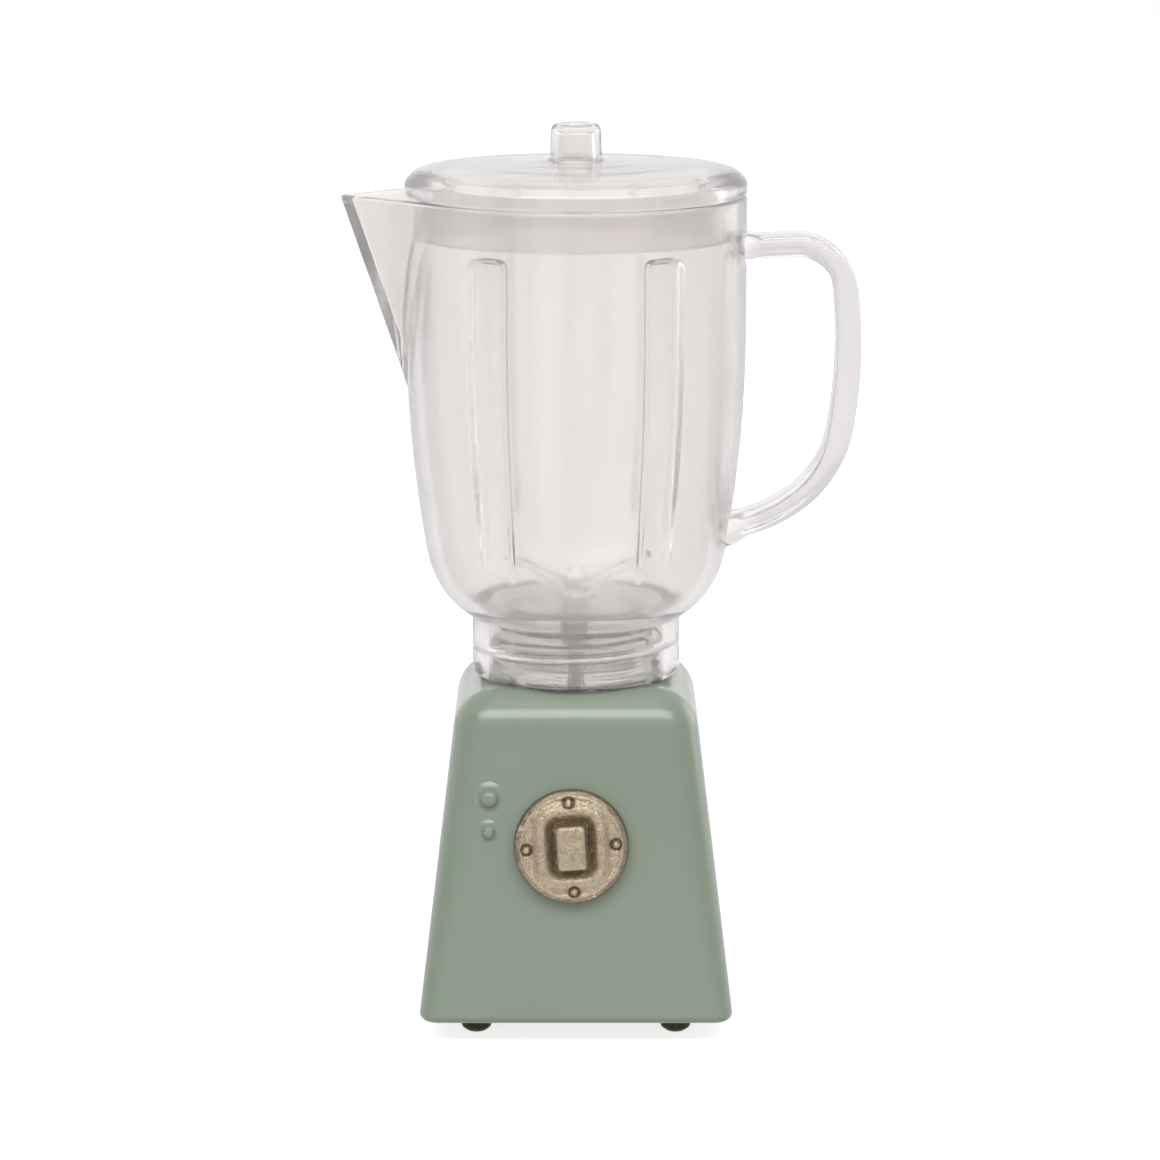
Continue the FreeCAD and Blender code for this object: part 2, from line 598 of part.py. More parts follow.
def cut_flutes(body, radius):
    """Cut four arched grooves that lean as the wall does, two at the front, two behind."""
    run = "(size.mouth_radius - size.flute_depth + size.flute_radius)"
    rib = f"sqrt(pow(size.flute_radius + size.jug_wall; 2) - pow({run} - {BORE}; 2))"
    crown = f"(size.jug_height + size.lid_gap - size.plug_depth - size.flute_gap - {rib})"
    lean = "size.flute_lean"
    foot = f"({run} - {crown} * tan({lean}))"
    azimuths = [f"{middle} {side} size.flute_angle" for middle in (90, 270) for side in "-+"]
    for which, azimuth in enumerate(azimuths):
        profile = new_sketch(body, f"flute_{which}_profile", axis=Y_AXIS, turn=azimuth)
        draw(profile, [
            (foot, 0),
            (f"{foot} - {radius} * cos({lean})", f"{radius} * sin({lean})"),
            (f"{run} - {radius} * cos({lean})", f"{crown} + {radius} * sin({lean})"),
            (f"{run} + {radius} * sin({lean})", f"{crown} + {radius} * cos({lean})"),
        ])
        ends = [profile.getPoint(0, 1), profile.getPoint(2, 2)]
        axis = profile.addGeometry(Part.LineSegment(*ends), True)
        profile.addConstraint(Sketcher.Constraint("Coincident", axis, 1, 0, 1))
        profile.addConstraint(Sketcher.Constraint("Coincident", axis, 2, 2, 2))
        groove = body.newObject("PartDesign::Groove", f"flute_{which}")
        groove.Profile = profile
        groove.ReferenceAxis = (profile, ["Axis0"])
        groove.Angle = 360


def spout_section(body, name, height, tip, nose, lean, back):
    """Plan of the spout at a height: two straight sides that close round a nose.

    The nose is an arc whose far side is at tip; the sides open with the cosine lean and end
    on a line at back.
    """
    centre = f"({tip} - {nose})"
    open_ = f"sqrt(1 - pow({lean}; 2))"
    touch = f"({centre} + {nose} * {lean})"
    half = f"({nose} * {open_} + ({touch} - {back}) * {lean} / {open_})"
    plan = new_sketch(body, name, "XY_Plane", (0, 0, height))
    draw(plan, [
        (f"-{back}", f"-{half}"),
        (f"-{back}", half),
        (f"-{touch}", f"{nose} * {open_}"),
        (f"-{touch}", f"-{nose} * {open_}", nose),
    ])
    return plan


def add_spout(body, name, inside):
    """Spout from the rim down to the point where its nose meets the wall, or its channel."""
    wall = "size.spout_wall" if inside else "0"
    nose = "size.spout_throat" if inside else "size.spout_nose"
    tail = "size.spout_throat" if inside else "size.spout_tail"
    side = f"({BORE} - size.spout_blend)" if inside else "size.mouth_radius"
    tip = f"(size.mouth_radius + size.spout_reach - {wall})"
    tail_tip = f"(size.mouth_radius - {wall})"
    lean = f"(({side} - {nose}) / ({tip} - {nose}))"
    lower = "(size.jug_height - size.spout_drop)"
    rim_plan = spout_section(body, f"{name}_rim_plan", "size.jug_height", tip, nose, lean,
                             f"({side} * {lean})")
    tail_plan = spout_section(body, f"{name}_tail_plan", lower, tail_tip, tail, lean,
                              f"({tail_tip} - size.spout_tail * 3)")
    loft(body, name, [rim_plan, tail_plan])


def add_handle(body):
    """Strap handle: a bevelled section carried along arcs that run into each other."""
    section = new_sketch(body, "handle_section", "YZ_Plane", (
        0, "size.handle_top - (size.handle_bend + size.handle_root)"
        " * tan(size.handle_rise)", "size.mouth_radius - size.handle_root"),
        axis=X_AXIS, turn="-size.handle_rise")
    draw_box(section, "size.handle_width / 2", "size.handle_thickness / 2", "size.handle_bevel",
             rounded=False)
    route = new_sketch(body, "handle_route")
    start = "(size.mouth_radius - size.handle_root)"
    draw(route, [
        (start, f"size.handle_top - ({HANDLE_BEND} - {start}) * tan(size.handle_rise)"),
        (HANDLE_BEND, "size.handle_top"),
        ("size.mouth_radius + size.handle_reach", "size.handle_shoulder", "tangent"),
        ("size.mouth_radius + size.handle_grip", "size.handle_grip_up", "tangent"),
        ("size.mouth_radius - size.handle_foot", "size.handle_foot_up", "tangent"),
    ], closed=False)
    strap = body.newObject("PartDesign::AdditivePipe", "handle")
    strap.Profile = section
    strap.Spine = (route, [f"Edge{run}" for run in range(1, 5)])


def cut_notches(body):
    """Ratchet notches round the collar's foot, open downwards and to the bore."""
    floor = f"({COLLAR_BORE} + size.notch_reach)"
    profile = new_sketch(body, "notch_profile", offset=(0, 0, floor))
    draw(profile, [
        ("-size.notch_length / 2", 0),
        ("size.notch_length / 2", 0),
        ("size.notch_steep - size.notch_length / 2", "size.notch_height"),
    ])
    notch = extrude(body, "notch", profile, "size.notch_reach * 1.5", "Pocket")
    ring_of(body, "notches", notch, "size.notch_count")


def shoulder_corner(inwards, down):
    """A corner of the jug's shoulder, as shares of its way in to the collar and down to its top."""
    return (f"{SHOULDER} - {inwards} * ({SHOULDER} - {COLLAR_FACE})",
            f"size.shoulder_up - {down} * (size.shoulder_up - size.collar_height)")


def make_jug():
    """One clear moulding: fluted wall, spout, strap handle, floor and threaded collar."""
    outside = new_body("jug_outside")
    stem_hole = "(size.blade_stem + size.blade_stem_gap)"
    profile = new_sketch(outside, "outside_profile")
    draw(profile, [
        (stem_hole, "size.jug_height"),
        ("size.mouth_radius", "size.jug_height"),
        ("size.mouth_radius", "size.belly_up"),
        (WAIST, "size.waist_up"),
        (SHOULDER, "size.shoulder_up"),
        shoulder_corner("size.brow_in", "size.brow_down"),
        shoulder_corner("size.chin_in", "size.chin_down"),
        (COLLAR_FACE, "size.collar_height"),
        (COLLAR_FACE, 0),
        (COLLAR_BORE, 0),
        (COLLAR_BORE, "size.collar_depth"),
        (stem_hole, "size.collar_depth"),
    ])
    revolve(outside, "outside_form", profile)
    add_spout(outside, "spout", inside=False)
    add_handle(outside)
    cut_flutes(outside, "size.flute_radius")
    cut_notches(outside)
    collar_thread_up = "(size.boss_thread_up + size.thread_pitch / 2 - size.seat_gap)"
    spiral_ridge(outside, "thread", COLLAR_BORE, "-size.thread_depth", collar_thread_up,
                 "size.collar_thread_turns")

    hollow = new_body("jug_hollow")
    profile = new_sketch(hollow, "hollow_profile")
    draw(profile, [
        (0, "size.jug_height"),
        (0, JUG_FLOOR),
        (f"{COLLAR_FACE} + size.floor_spread", JUG_FLOOR),
        (f"{SHOULDER} - size.jug_wall - size.bowl_half", "size.shoulder_up - size.bowl_half_up"),
        (f"{SHOULDER} - size.jug_wall", "size.shoulder_up"),
        (f"{WAIST} - size.jug_wall", "size.waist_up"),
        (BORE, "size.belly_up"),
        (BORE, "size.jug_height"),
    ])
    revolve(hollow, "bowl", profile)
    add_spout(hollow, "channel", inside=True)
    cut_flutes(hollow, "(size.flute_radius + size.jug_wall)")

    jug = doc.addObject("Part::Cut", "jug")
    jug.Label = "jug"
    jug.Base = outside
    jug.Tool = hollow
    place_body(jug, (0, 0, JUG_FOOT))
    return jug


def make_blade():
    """Clear star on the jug's floor: two steep and two shallow blades, a stem and a snap barb."""
    body = new_body("blade")
    profile = new_sketch(body, "hub_profile")
    play = "size.blade_float / 2"
    under = f"(size.floor_thickness + {play})"
    draw(profile, [
        (0, f"-({under} + size.barb_height)"),
        ("size.blade_stem * 0.8", f"-({under} + size.barb_height)"),
        ("size.barb_radius", f"-{under}"),
        ("size.blade_stem", f"-{under}"),
        ("size.blade_stem", play),
        ("size.hub_radius", play),
        ("size.hub_radius / 2", "size.hub_height"),
        (0, "size.hub_height"),
    ])
    revolve(body, "hub", profile)
    for name, axis, sign, rise in (("steep", Y_AXIS, "-", "size.blade_steep"),
                                   ("shallow", X_AXIS, "", "size.blade_shallow")):
        plan = new_sketch(body, f"{name}_blade_outline", "XY_Plane", (0, 0, "size.blade_up"),
                          axis=axis, turn=f"{sign}{rise}")
        tip = f"(size.blade_reach / cos({rise}))"
        corners = [("size.hub_radius / 2", "-size.blade_root"), (tip, "-size.blade_tip"),
                   (f"{tip} - size.blade_tip", "size.blade_tip"),
                   ("size.hub_radius / 2", "size.blade_root")]
        draw(plan, corners if axis == Y_AXIS else [(v, u) for u, v in corners])
        blade = extrude(body, f"{name}_blade", plan, "size.blade_thickness")
        ring_of(body, f"{name}_blades", blade, 2)
    place_body(body, (0, 0, f"{JUG_FOOT} + {JUG_FLOOR}"))
    return body


def make_lid():
    """Clear cover with a sloped rim, a plug skirt for the jug's mouth and a hollow knob."""
    body = new_body("lid")
    profile = new_sketch(body, "lid_profile")
    edge = "(size.mouth_radius - size.lid_round)"
    edge_up = "(size.lid_rim + size.lid_round_rise)"
    top = "(size.lid_crown + size.knob_height)"
    plug = f"({BORE} - size.plug_gap)"
    ceiling = f"({edge_up} - size.lid_wall)"
    draw(profile, [
        (0, top),
        (0, f"{top} - size.knob_wall"),
        ("size.knob_top - size.knob_wall", f"{top} - size.knob_wall"),
        ("size.knob_foot - size.knob_wall", ceiling),
        (f"{plug} - size.plug_wall", ceiling),
        (f"{plug} - size.plug_wall", "-size.plug_depth"),
        (plug, "-size.plug_depth"),
        (plug, 0),
        ("size.mouth_radius", 0),
        ("size.mouth_radius", "size.lid_rim"),
        ("size.mouth_radius - size.lid_round * size.lid_round_share",
         "size.lid_rim + size.lid_round_rise * (1 - size.lid_round_share)"),
        (edge, edge_up),
        ("size.knob_foot", "size.lid_crown"),
        ("size.knob_top", f"{top} - size.knob_bevel"),
        ("size.knob_top - size.knob_bevel", top),
    ])
    revolve(body, "cover", profile)
    place_body(body, (0, 0, LID_SEAT))
    return body


def make_dial():
    """Round dial with a bevelled rim, four rivets, a raised frame, a key and a stem."""
    body = new_body("dial")
    face = "(size.dial_gap + size.dial_thickness)"
    profile = new_sketch(body, "plate_profile")
    pilot = f"(size.dial_screw_bite + size.screw_gap - {STEM_DEPTH})"
    draw(profile, [
        (0, pilot),
        ("size.screw_radius", pilot),
        ("size.screw_radius", f"-{STEM_DEPTH}"),
        ("size.stem_radius", f"-{STEM_DEPTH}"),
        ("size.stem_radius", "size.dial_gap"),
        ("size.dial_radius", "size.dial_gap"),
        ("size.dial_radius", f"{face} - size.dial_bevel"),
        ("size.dial_radius - size.dial_bevel", face),
        (0, face),
    ])
    revolve(body, "plate", profile)

    rivet = body.newObject("PartDesign::AdditiveCone", "rivet")
    first = "(90 + size.dial_rest)"
    attach(rivet, body, "XY_Plane", (f"size.rivet_circle * cos({first})",
                                     f"size.rivet_circle * sin({first})", face), Z_AXIS, 0)
    bind(rivet, Radius1="size.rivet_radius", Radius2="size.rivet_top", Height="size.rivet_rise")
    ring_of(body, "rivets", rivet, "size.rivet_count")

    frame = new_sketch(body, "frame_outline", "XY_Plane", (0, 0, face), turn="size.dial_rest")
    half_width, half_length = "size.ring_width / 2", "size.ring_length / 2"
    draw_box(frame, half_width, half_length, "size.ring_corner")
    draw_box(frame, f"({half_width} - size.ring_band)", f"({half_length} - size.ring_band)",
             "(size.ring_corner - size.ring_band)")
    extrude(body, "frame", frame, "size.ring_rise")
    key = new_sketch(body, "key_outline", "XY_Plane", (0, 0, face), turn="size.dial_rest")
    draw_box(key, "size.key_width / 2", "size.key_length / 2", "size.key_corner")
    extrude(body, "key", key, "size.key_rise")
    ease_edges(body, "key_bevel", "size.key_bevel", flat_at(f"{face} + size.key_rise"), "Chamfer")
    return body


def make_dial_washer():
    """Plain washer round the dial's stem, behind the housing's front wall."""
    body = new_body("dial_washer")
    ring = new_sketch(body, "washer_outline", "XY_Plane", (0, 0, f"-{STEM_DEPTH}"))
    draw_circle(ring, 0, 0, "size.washer_radius")
    draw_circle(ring, 0, 0, "size.stem_radius + size.stem_gap")
    extrude(body, "washer", ring, "size.washer_thickness")
    return body


def seat_on_front(body, depth=0):
    """Put a body on the housing's front at the dial, its Z axis outwards, sunk by depth."""
    place = on_front("size.dial_x", "size.dial_up")
    across, back, up = place["offset"]
    offset = (across, f"{back} + {depth} * cos({SLOPE})",
              f"{up} + size.foot_drop - {depth} * sin({SLOPE})")
    place_body(body, offset, place["axis"], place["turn"])
    return body


def make_nodes():
    """Every separate piece of the blender, in the order in which it goes together."""
    roof = f"({HOUSING_TOP} - size.housing_wall)"
    sink = "(size.plate_thickness / 2)"
    plate_screws = make_screws(
        "plate_screws", [("size.post_spread", 0), ("-size.post_spread", 0)],
        f"size.plate_thickness - {sink} + size.screw_bite")
    place_body(plate_screws, (0, 0, f"size.foot_drop + size.plate_recess + {sink}"))
    boss_screws = make_screws(
        "boss_screws", [(0, "size.boss_screw_spread"), (0, "-size.boss_screw_spread")],
        "size.housing_wall + size.screw_bite")
    place_body(boss_screws, (0, 0, roof))
    dial_screw = make_screws("dial_screw", [(0, 0)], "size.dial_screw_bite",
                             "size.dial_screw_head")
    feet = [make_foot(f"foot_{end_name}_{side_name}", side, end)
            for end_name, end in (("front", -1), ("rear", 1))
            for side_name, side in (("left", -1), ("right", 1))]
    return [
        make_housing(), make_base_plate(), *feet, plate_screws, make_neck_boss(), boss_screws,
        seat_on_front(make_dial()), seat_on_front(make_dial_washer()),
        seat_on_front(dial_screw, STEM_DEPTH), make_jug(), make_blade(), make_lid(),
    ]


def check(nodes):
    """Stop if any feature failed or any piece is not a sound solid."""
    doc.recompute()
    failed = [thing.Name for thing in doc.Objects if {"Invalid", "Error"} & set(thing.State)]
    unsound = [node.Label for node in nodes
               if node.Shape.isNull() or not node.Shape.isValid() or not node.Shape.Solids]
    if failed or unsound:
        raise RuntimeError(f"failed features {failed}, unsound pieces {unsound}")


def write_parts(nodes):
    os.makedirs("parts", exist_ok=True)
    for node in nodes:
        node.Shape.exportStep(f"parts/{node.Label}.step")


pieces = make_nodes()
check(pieces)
write_parts(pieces)
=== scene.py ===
"""Looks of a doll's house blender: clear screw-on jug and lid, mint enamelled base, cast bronze dial."""

import math

import bmesh
import bpy
import numpy as np
from bpy.props import FloatProperty, FloatVectorProperty, IntProperty, PointerProperty
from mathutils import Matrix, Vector
from mathutils.kdtree import KDTree


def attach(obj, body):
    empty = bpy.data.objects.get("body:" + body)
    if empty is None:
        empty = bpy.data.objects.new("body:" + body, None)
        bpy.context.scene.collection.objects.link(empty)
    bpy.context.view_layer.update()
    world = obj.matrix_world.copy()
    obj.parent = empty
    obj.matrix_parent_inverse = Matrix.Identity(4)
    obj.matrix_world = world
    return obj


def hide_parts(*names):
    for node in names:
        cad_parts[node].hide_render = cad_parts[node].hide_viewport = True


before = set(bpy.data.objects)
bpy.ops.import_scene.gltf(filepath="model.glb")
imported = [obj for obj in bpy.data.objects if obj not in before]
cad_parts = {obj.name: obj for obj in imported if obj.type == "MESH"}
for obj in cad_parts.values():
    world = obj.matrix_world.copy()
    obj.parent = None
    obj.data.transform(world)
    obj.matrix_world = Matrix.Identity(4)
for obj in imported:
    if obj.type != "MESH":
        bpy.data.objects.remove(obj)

bl_info = {
    "name": "Doll's House Blender",
    "version": (1, 0, 0),
    "blender": (4, 5, 0),
    "location": "3D View > Sidebar > Doll's Blender",
    "description": "Builds a miniature kitchen blender with a clear jug, an enamelled base and a cast dial",
    "category": "Add Mesh",
}

MM = 0.001
TURN = 2 * math.pi
JUG_FOOT = 34.8          # collar's foot above the standing surface
LID_SEAT = 82.75         # lid's rim above the standing surface
HOUSING_FOOT = 2.1       # housing's lower edge above the standing surface
HOUSING_SLOPE = math.atan((15.6 - 11.85) / 32.6)    # lean of the front that carries dial and bumps
THREAD_PITCH = 1.7
COLLAR_BORE = 8.8        # inside radius of the jug's collar
NOTCHES = 8              # ratchet notches in the collar's foot
NOTCH_RADIUS = 9.3       # where their lengths are measured
FRONT_AND_BACK = (math.pi / 2, 3 * math.pi / 2)
POST_OUT = 8.0           # screw posts, left and right of the middle
ROOF_HOLE_OUT = 4.3      # holes of the boss's screws, before and behind the middle
FOOT_OUT = 9.95          # feet from the middle, both ways
DIAL_MIDDLE = np.array((-0.45, -13.5525, 19.9))     # where the dial's axis meets the housing's front
DIAL_UP = 17.8           # the same above the housing's lower edge
DIAL_TURN = math.radians(3.8)
DIAL_GAP = 0.1           # dial's back from the housing's front
DIAL_FACE = 5.25         # radius of the dial's face inside its round edge
JUG_TINTS_AND_SHADOW = (            # axis, where the tint or painted shadow starts and is full, its factor
    ("X", 17.0, 18.5, 0.82),      # thick handle
    ("X", -17.5, -19.0, 1.0),     # spout's solid nose
    ("Z", 35.2, 34.9, 0.3),       # painted shadow: a dark line at the collar's foot, where it sits on the housing
)
MATERIALS = {}


# ---- sizes and colours a user may change

def length(name, millimetres, description):
    """A size property, kept in metres."""
    return FloatProperty(name=name, description=description, default=millimetres * MM,
                         unit="LENGTH", precision=5)


def colour(name, rgb, description):
    """A colour property; the default is given as the eye sees it, from 0 to 255."""
    linear = tuple(((v / 255 + 0.055) / 1.055) ** 2.4 for v in rgb)
    return FloatVectorProperty(name=name, description=description, subtype="COLOR", size=3,
                               min=0, max=1, default=linear)


class JugSizes(bpy.types.PropertyGroup):
    """Sizes of the jug, its spout, flutes and handle"""
    height: length("Height", 47.9, "Collar's foot to rim")
    mouth: length("Mouth radius", 16.9, "Outside radius at the rim")
    wall: length("Wall", 1.5, "Thickness of the wall")
    belly_up: length("Belly height", 35.0, "Height above the collar's foot where the wall becomes upright")
    shoulder: length("Shoulder radius", 14.9, "Outside radius where the shoulder meets the wall's slope")
    shoulder_up: length("Shoulder height", 12.2, "Height of that meeting")
    collar_up: length("Collar height", 5.75, "Height where the shoulder meets the collar")
    collar: length("Collar radius", 10.4, "Outside radius of the collar")
    spout_reach: length("Spout reach", 23.3, "Nose of the spout from the jug's axis")
    spout_drop: length("Spout drop", 18.7, "Length of the nose below the rim")
    spout_nose: length("Nose radius", 0.75, "Radius of the nose at the rim")
    flute_depth: length("Flute depth", 0.75, "How far the flutes are pressed into the wall")
    flute_width: length("Flute width", 4.0, "Width of a flute")
    flute_top: length("Flute top", 43.2, "Height of a flute's upper end")
    flute_angle: FloatProperty(name="Flute angle", description="Flute's place from the front or the back",
                               default=math.radians(31.5), subtype="ANGLE")
    strap_thickness: length("Strap thickness", 2.15, "Handle strap, seen from the side")
    strap_width: length("Strap width", 6.0, "Handle strap, seen from behind")


class LidSizes(bpy.types.PropertyGroup):
    """Sizes of the lid"""
    rim: length("Rim radius", 16.9, "Outside radius of the lid")
    rim_height: length("Rim height", 1.3, "Upright part of the rim")
    crown: length("Crown", 3.4, "Middle of the dome above the rim's underside")
    plug: length("Plug radius", 15.3, "Skirt that drops into the jug's mouth")
    plug_depth: length("Plug depth", 4.2, "Skirt below the rim")
    wall: length("Wall", 1.1, "Thickness of the lid")
    knob: length("Knob radius", 2.4, "Radius of the knob at its top")
    knob_height: length("Knob height", 7.0, "Knob's top above the rim's underside")


class HousingSizes(bpy.types.PropertyGroup):
    """Sizes of the enamelled housing"""
    height: length("Height", 32.6, "Lower edge to flat top")
    foot_half: length("Half width at the foot", 15.6, "Half of the width at the lower edge")
    top_half: length("Half width at the top", 11.7, "Half of the width at the top, before rounding")
    edge: length("Top edge radius", 4.2, "Radius of the roof's edge, and of the upright edges at their top")
    foot_edge: length("Foot corner radius", 1.9, "Radius of the upright edges at the foot")
    hem: length("Lower edge radius", 0.8, "Radius of the lower edge")
    wall: length("Wall", 1.2, "Thickness of the shell")


class DialSizes(bpy.types.PropertyGroup):
    """Sizes of the cast dial"""
    radius: length("Radius", 5.66, "Outside radius of the plate")
    thickness: length("Thickness", 1.15, "Thickness of the plate")
    key_width: length("Key width", 2.9, "Width of the key")
    key_length: length("Key length", 4.4, "Length of the key")
    key_rise: length("Key rise", 1.3, "Height of the key above the plate")
    frame_rise: length("Frame rise", 0.55, "Height of the raised frame above the plate")
    rivet_circle: length("Rivet circle", 4.43, "Rivets from the dial's axis")
    rivets: IntProperty(name="Rivets", description="Number of dome rivets", default=4, min=0, max=12)


class Finishes(bpy.types.PropertyGroup):
    """Colours of the finishes"""
    mint: colour("Mint enamel", (134, 147, 129), "Enamel of the housing")
    bronze: colour("Cast bronze", (203, 186, 162), "Metal of the dial")
    dark_bronze: colour("Dark bronze", (74, 67, 54), "Metal of the feet")
    steel: colour("Zinc plated steel", (178, 178, 176), "Screws and washer")
    clear: colour("Clear styrene", (244, 241, 240), "Tint of the clear mouldings")
    haze: FloatProperty(name="Haze", description="Roughness of the clear mouldings", default=0.12,
                        min=0, max=1, subtype="FACTOR")
    milk: FloatProperty(name="Milkiness", description="Share of light that the clear mouldings scatter",
                        default=0.14, min=0, max=1, subtype="FACTOR")


GROUPS = {"jug": JugSizes, "lid": LidSizes, "housing": HousingSizes, "dial": DialSizes, "finish": Finishes}


class BlenderSettings(bpy.types.PropertyGroup):
    """Everything that a user may change"""
    jug: PointerProperty(type=JugSizes, name="Jug")
    lid: PointerProperty(type=LidSizes, name="Lid")
    housing: PointerProperty(type=HousingSizes, name="Housing")
    dial: PointerProperty(type=DialSizes, name="Dial")
    finish: PointerProperty(type=Finishes, name="Finishes")


class Millimetres:
    """Reads the lengths of a group of settings in millimetres."""

    def __init__(self, part):
        self.group = getattr(settings(), part)

    def __getattr__(self, name):
        return getattr(self.group, name) / MM


def settings():
    """The scene's settings."""
    return bpy.context.scene.dolls_blender


# ---- curves and surfaces

def unit(vector):
    """The vector divided by its own length."""
    return np.asarray(vector, float) / np.linalg.norm(vector)


def ease(value):
    """Smooth step: 3t^2 - 2t^3 with t held between 0 and 1."""
    held = np.clip(value, 0, 1)
    return held * held * (3 - 2 * held)


def soft_max(first, second, blend):
    """The larger of the two, with a round where they meet: max + (blend - |a - b|)^2 / 4 blend."""
    near = np.clip(blend - np.abs(first - second), 0, None)
    return np.maximum(first, second) + near * near / (4 * blend)


def box_distance(across, up, half_across, half_up, corner):
    """Signed distance to a rectangle with round corners: negative inside."""
    over_a, over_u = np.abs(across) - half_across + corner, np.abs(up) - half_up + corner
    outside = np.hypot(np.clip(over_a, 0, None), np.clip(over_u, 0, None))
    return outside + np.clip(np.maximum(over_a, over_u), None, 0) - corner


def tangent_arc(start, heading, end, count):
    """The one arc that leaves start along heading and passes end: its count points after start, and its
    heading at end. Its signed radius is |chord|^2 / 2(chord . left)."""
    start, end, heading = np.asarray(start, float), np.asarray(end, float), unit(heading)
    chord = end - start
    left = np.array((-heading[1], heading[0]))
    radius = chord @ chord / (2 * (chord @ left))
    swing = 2 * math.atan2(chord @ left, chord @ heading)
    angles = np.linspace(0, swing, count + 1)[1:, None]
    points = start + radius * (left * (1 - np.cos(angles)) + heading * np.sin(angles))
    return points, heading * math.cos(swing) + left * math.sin(swing)


def rounded(corners, steps):
    """Polyline through (across, up, radius) corners. Each corner is turned by the arc of its radius that
    touches both its sides; the first and the last are kept."""
    line = [np.array([corners[0][:2]], float)]
    for before, here, after in zip(corners, corners[1:], corners[2:]):
        corner, radius = np.array(here[:2], float), here[2]
        back, on = unit(np.array(before[:2]) - corner), unit(np.array(after[:2]) - corner)
        if radius <= 0:
            line.append(corner[None])
            continue
        half = math.acos(float(np.clip(back @ on, -1, 1))) / 2
        centre = corner + unit(back + on) * radius / math.sin(half)
        first = corner + back * radius / math.tan(half) - centre
        last = corner + on * radius / math.tan(half) - centre
        opening = math.pi - 2 * half
        share = np.linspace(0, 1, steps + 1)[:, None]
        arc = (np.sin((1 - share) * opening) * first + np.sin(share * opening) * last) / math.sin(opening)
        line.append(centre + arc)
    line.append(np.array([corners[-1][:2]], float))
    return np.concatenate(line)


def around(angles, radii, heights):
    """Points (r cos a, r sin a, z); the three arrays may be any that numpy can spread over one grid."""
    angles, radii, heights = np.broadcast_arrays(angles, radii, heights)
    return np.stack((radii * np.cos(angles), radii * np.sin(angles), heights), axis=-1)


def lathe(profile, turns):
    """A profile of (radius, height) turned about the upright axis: the point at angle a is
    (r cos a, r sin a, z)."""
    profile = np.asarray(profile, float)
    angles = np.linspace(0, TURN, turns + 1)
    return around(angles[None, :], profile[:, :1], profile[:, 1:2])


def strap(path, section):
    """A section of (outwards, across) points carried along an upright path of (x, z) points: each ring is
    the path's point plus outwards times the path's normal plus across times Y."""
    heading = np.gradient(path, axis=0)
    heading /= np.linalg.norm(heading, axis=1)[:, None]
    normal = np.stack((heading[:, 1], -heading[:, 0]), axis=-1)
    flat = path[:, None, :] + normal[:, None, :] * section[..., :1]
    return np.stack((flat[..., 0], np.broadcast_to(section[..., 1], flat.shape[:2]), flat[..., 1]), axis=-1)


def quads(rows, columns):
    """Corner numbers of the quads between neighbouring rows and columns of a grid."""
    index = np.arange(rows * columns).reshape(rows, columns)
    corners = (index[:-1, :-1], index[:-1, 1:], index[1:, 1:], index[1:, :-1])
    return np.stack(corners, axis=-1).reshape(-1, 4)


def weld(mesh, outwards=True):
    """Closes seams and poles by merging equal points, and turns a closed surface's faces outwards: they are
    turned round where the volume that they enclose comes out negative."""
    work = bmesh.new()
    work.from_mesh(mesh)
    bmesh.ops.remove_doubles(work, verts=work.verts, dist=1e-6)
    bmesh.ops.dissolve_degenerate(work, edges=work.edges, dist=1e-7)
    if outwards and work.calc_volume(signed=True) < 0:
        bmesh.ops.reverse_faces(work, faces=work.faces)
    work.to_mesh(mesh)
    work.free()


def surface_mesh(name, grid):
    """One closed surface from a grid of points in millimetres, welded and facing outwards."""
    mesh = bpy.data.meshes.new(name)
    mesh.from_pydata((grid.reshape(-1, 3) * MM).tolist(), [], quads(*grid.shape[:2]).tolist())
    weld(mesh)
    return mesh


def joined(name, meshes):
    """One mesh that holds all the given ones as separate islands."""
    work = bmesh.new()
    for mesh in meshes:
        work.from_mesh(mesh)
        bpy.data.meshes.remove(mesh)
    mesh = bpy.data.meshes.new(name)
    work.to_mesh(mesh)
    work.free()
    return mesh


def put_object(name, data):
    """A new object in the scene that shows the data."""
    made = bpy.data.objects.new(name, data)
    bpy.context.scene.collection.objects.link(made)
    return made


def paint(mesh, material):
    """Gives a mesh its finish, in place of any other."""
    mesh.materials.clear()
    mesh.materials.append(MATERIALS[material])


def put_piece(name, mesh, material, body, nodes, sharp=40, flat_faces=False):
    """Puts a finished mesh into the scene as a piece: smooth shading up to sharp degrees, its material and
    the body that it rides on; the CAD nodes that it stands for are hidden. With flat_faces, large flat faces
    keep their own normal next to rounds."""
    mesh.name = name
    paint(mesh, material)
    mesh.shade_smooth()
    mesh.set_sharp_from_angle(angle=math.radians(sharp))
    piece = put_object(name, mesh)
    if flat_faces:
        modifier = piece.modifiers.new("flat_faces", "WEIGHTED_NORMAL")
        modifier.keep_sharp = True
        modifier.weight = 100
    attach(piece, body)
    for node in nodes:
        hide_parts(node)


def copied(node):
    """A merged copy of a CAD node's mesh, so that its curved faces can be shaded smooth."""
    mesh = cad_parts[node].data.copy()
    weld(mesh, outwards=False)
    if mesh.attributes.get("custom_normal"):
        mesh.attributes.remove(mesh.attributes["custom_normal"])
    return mesh


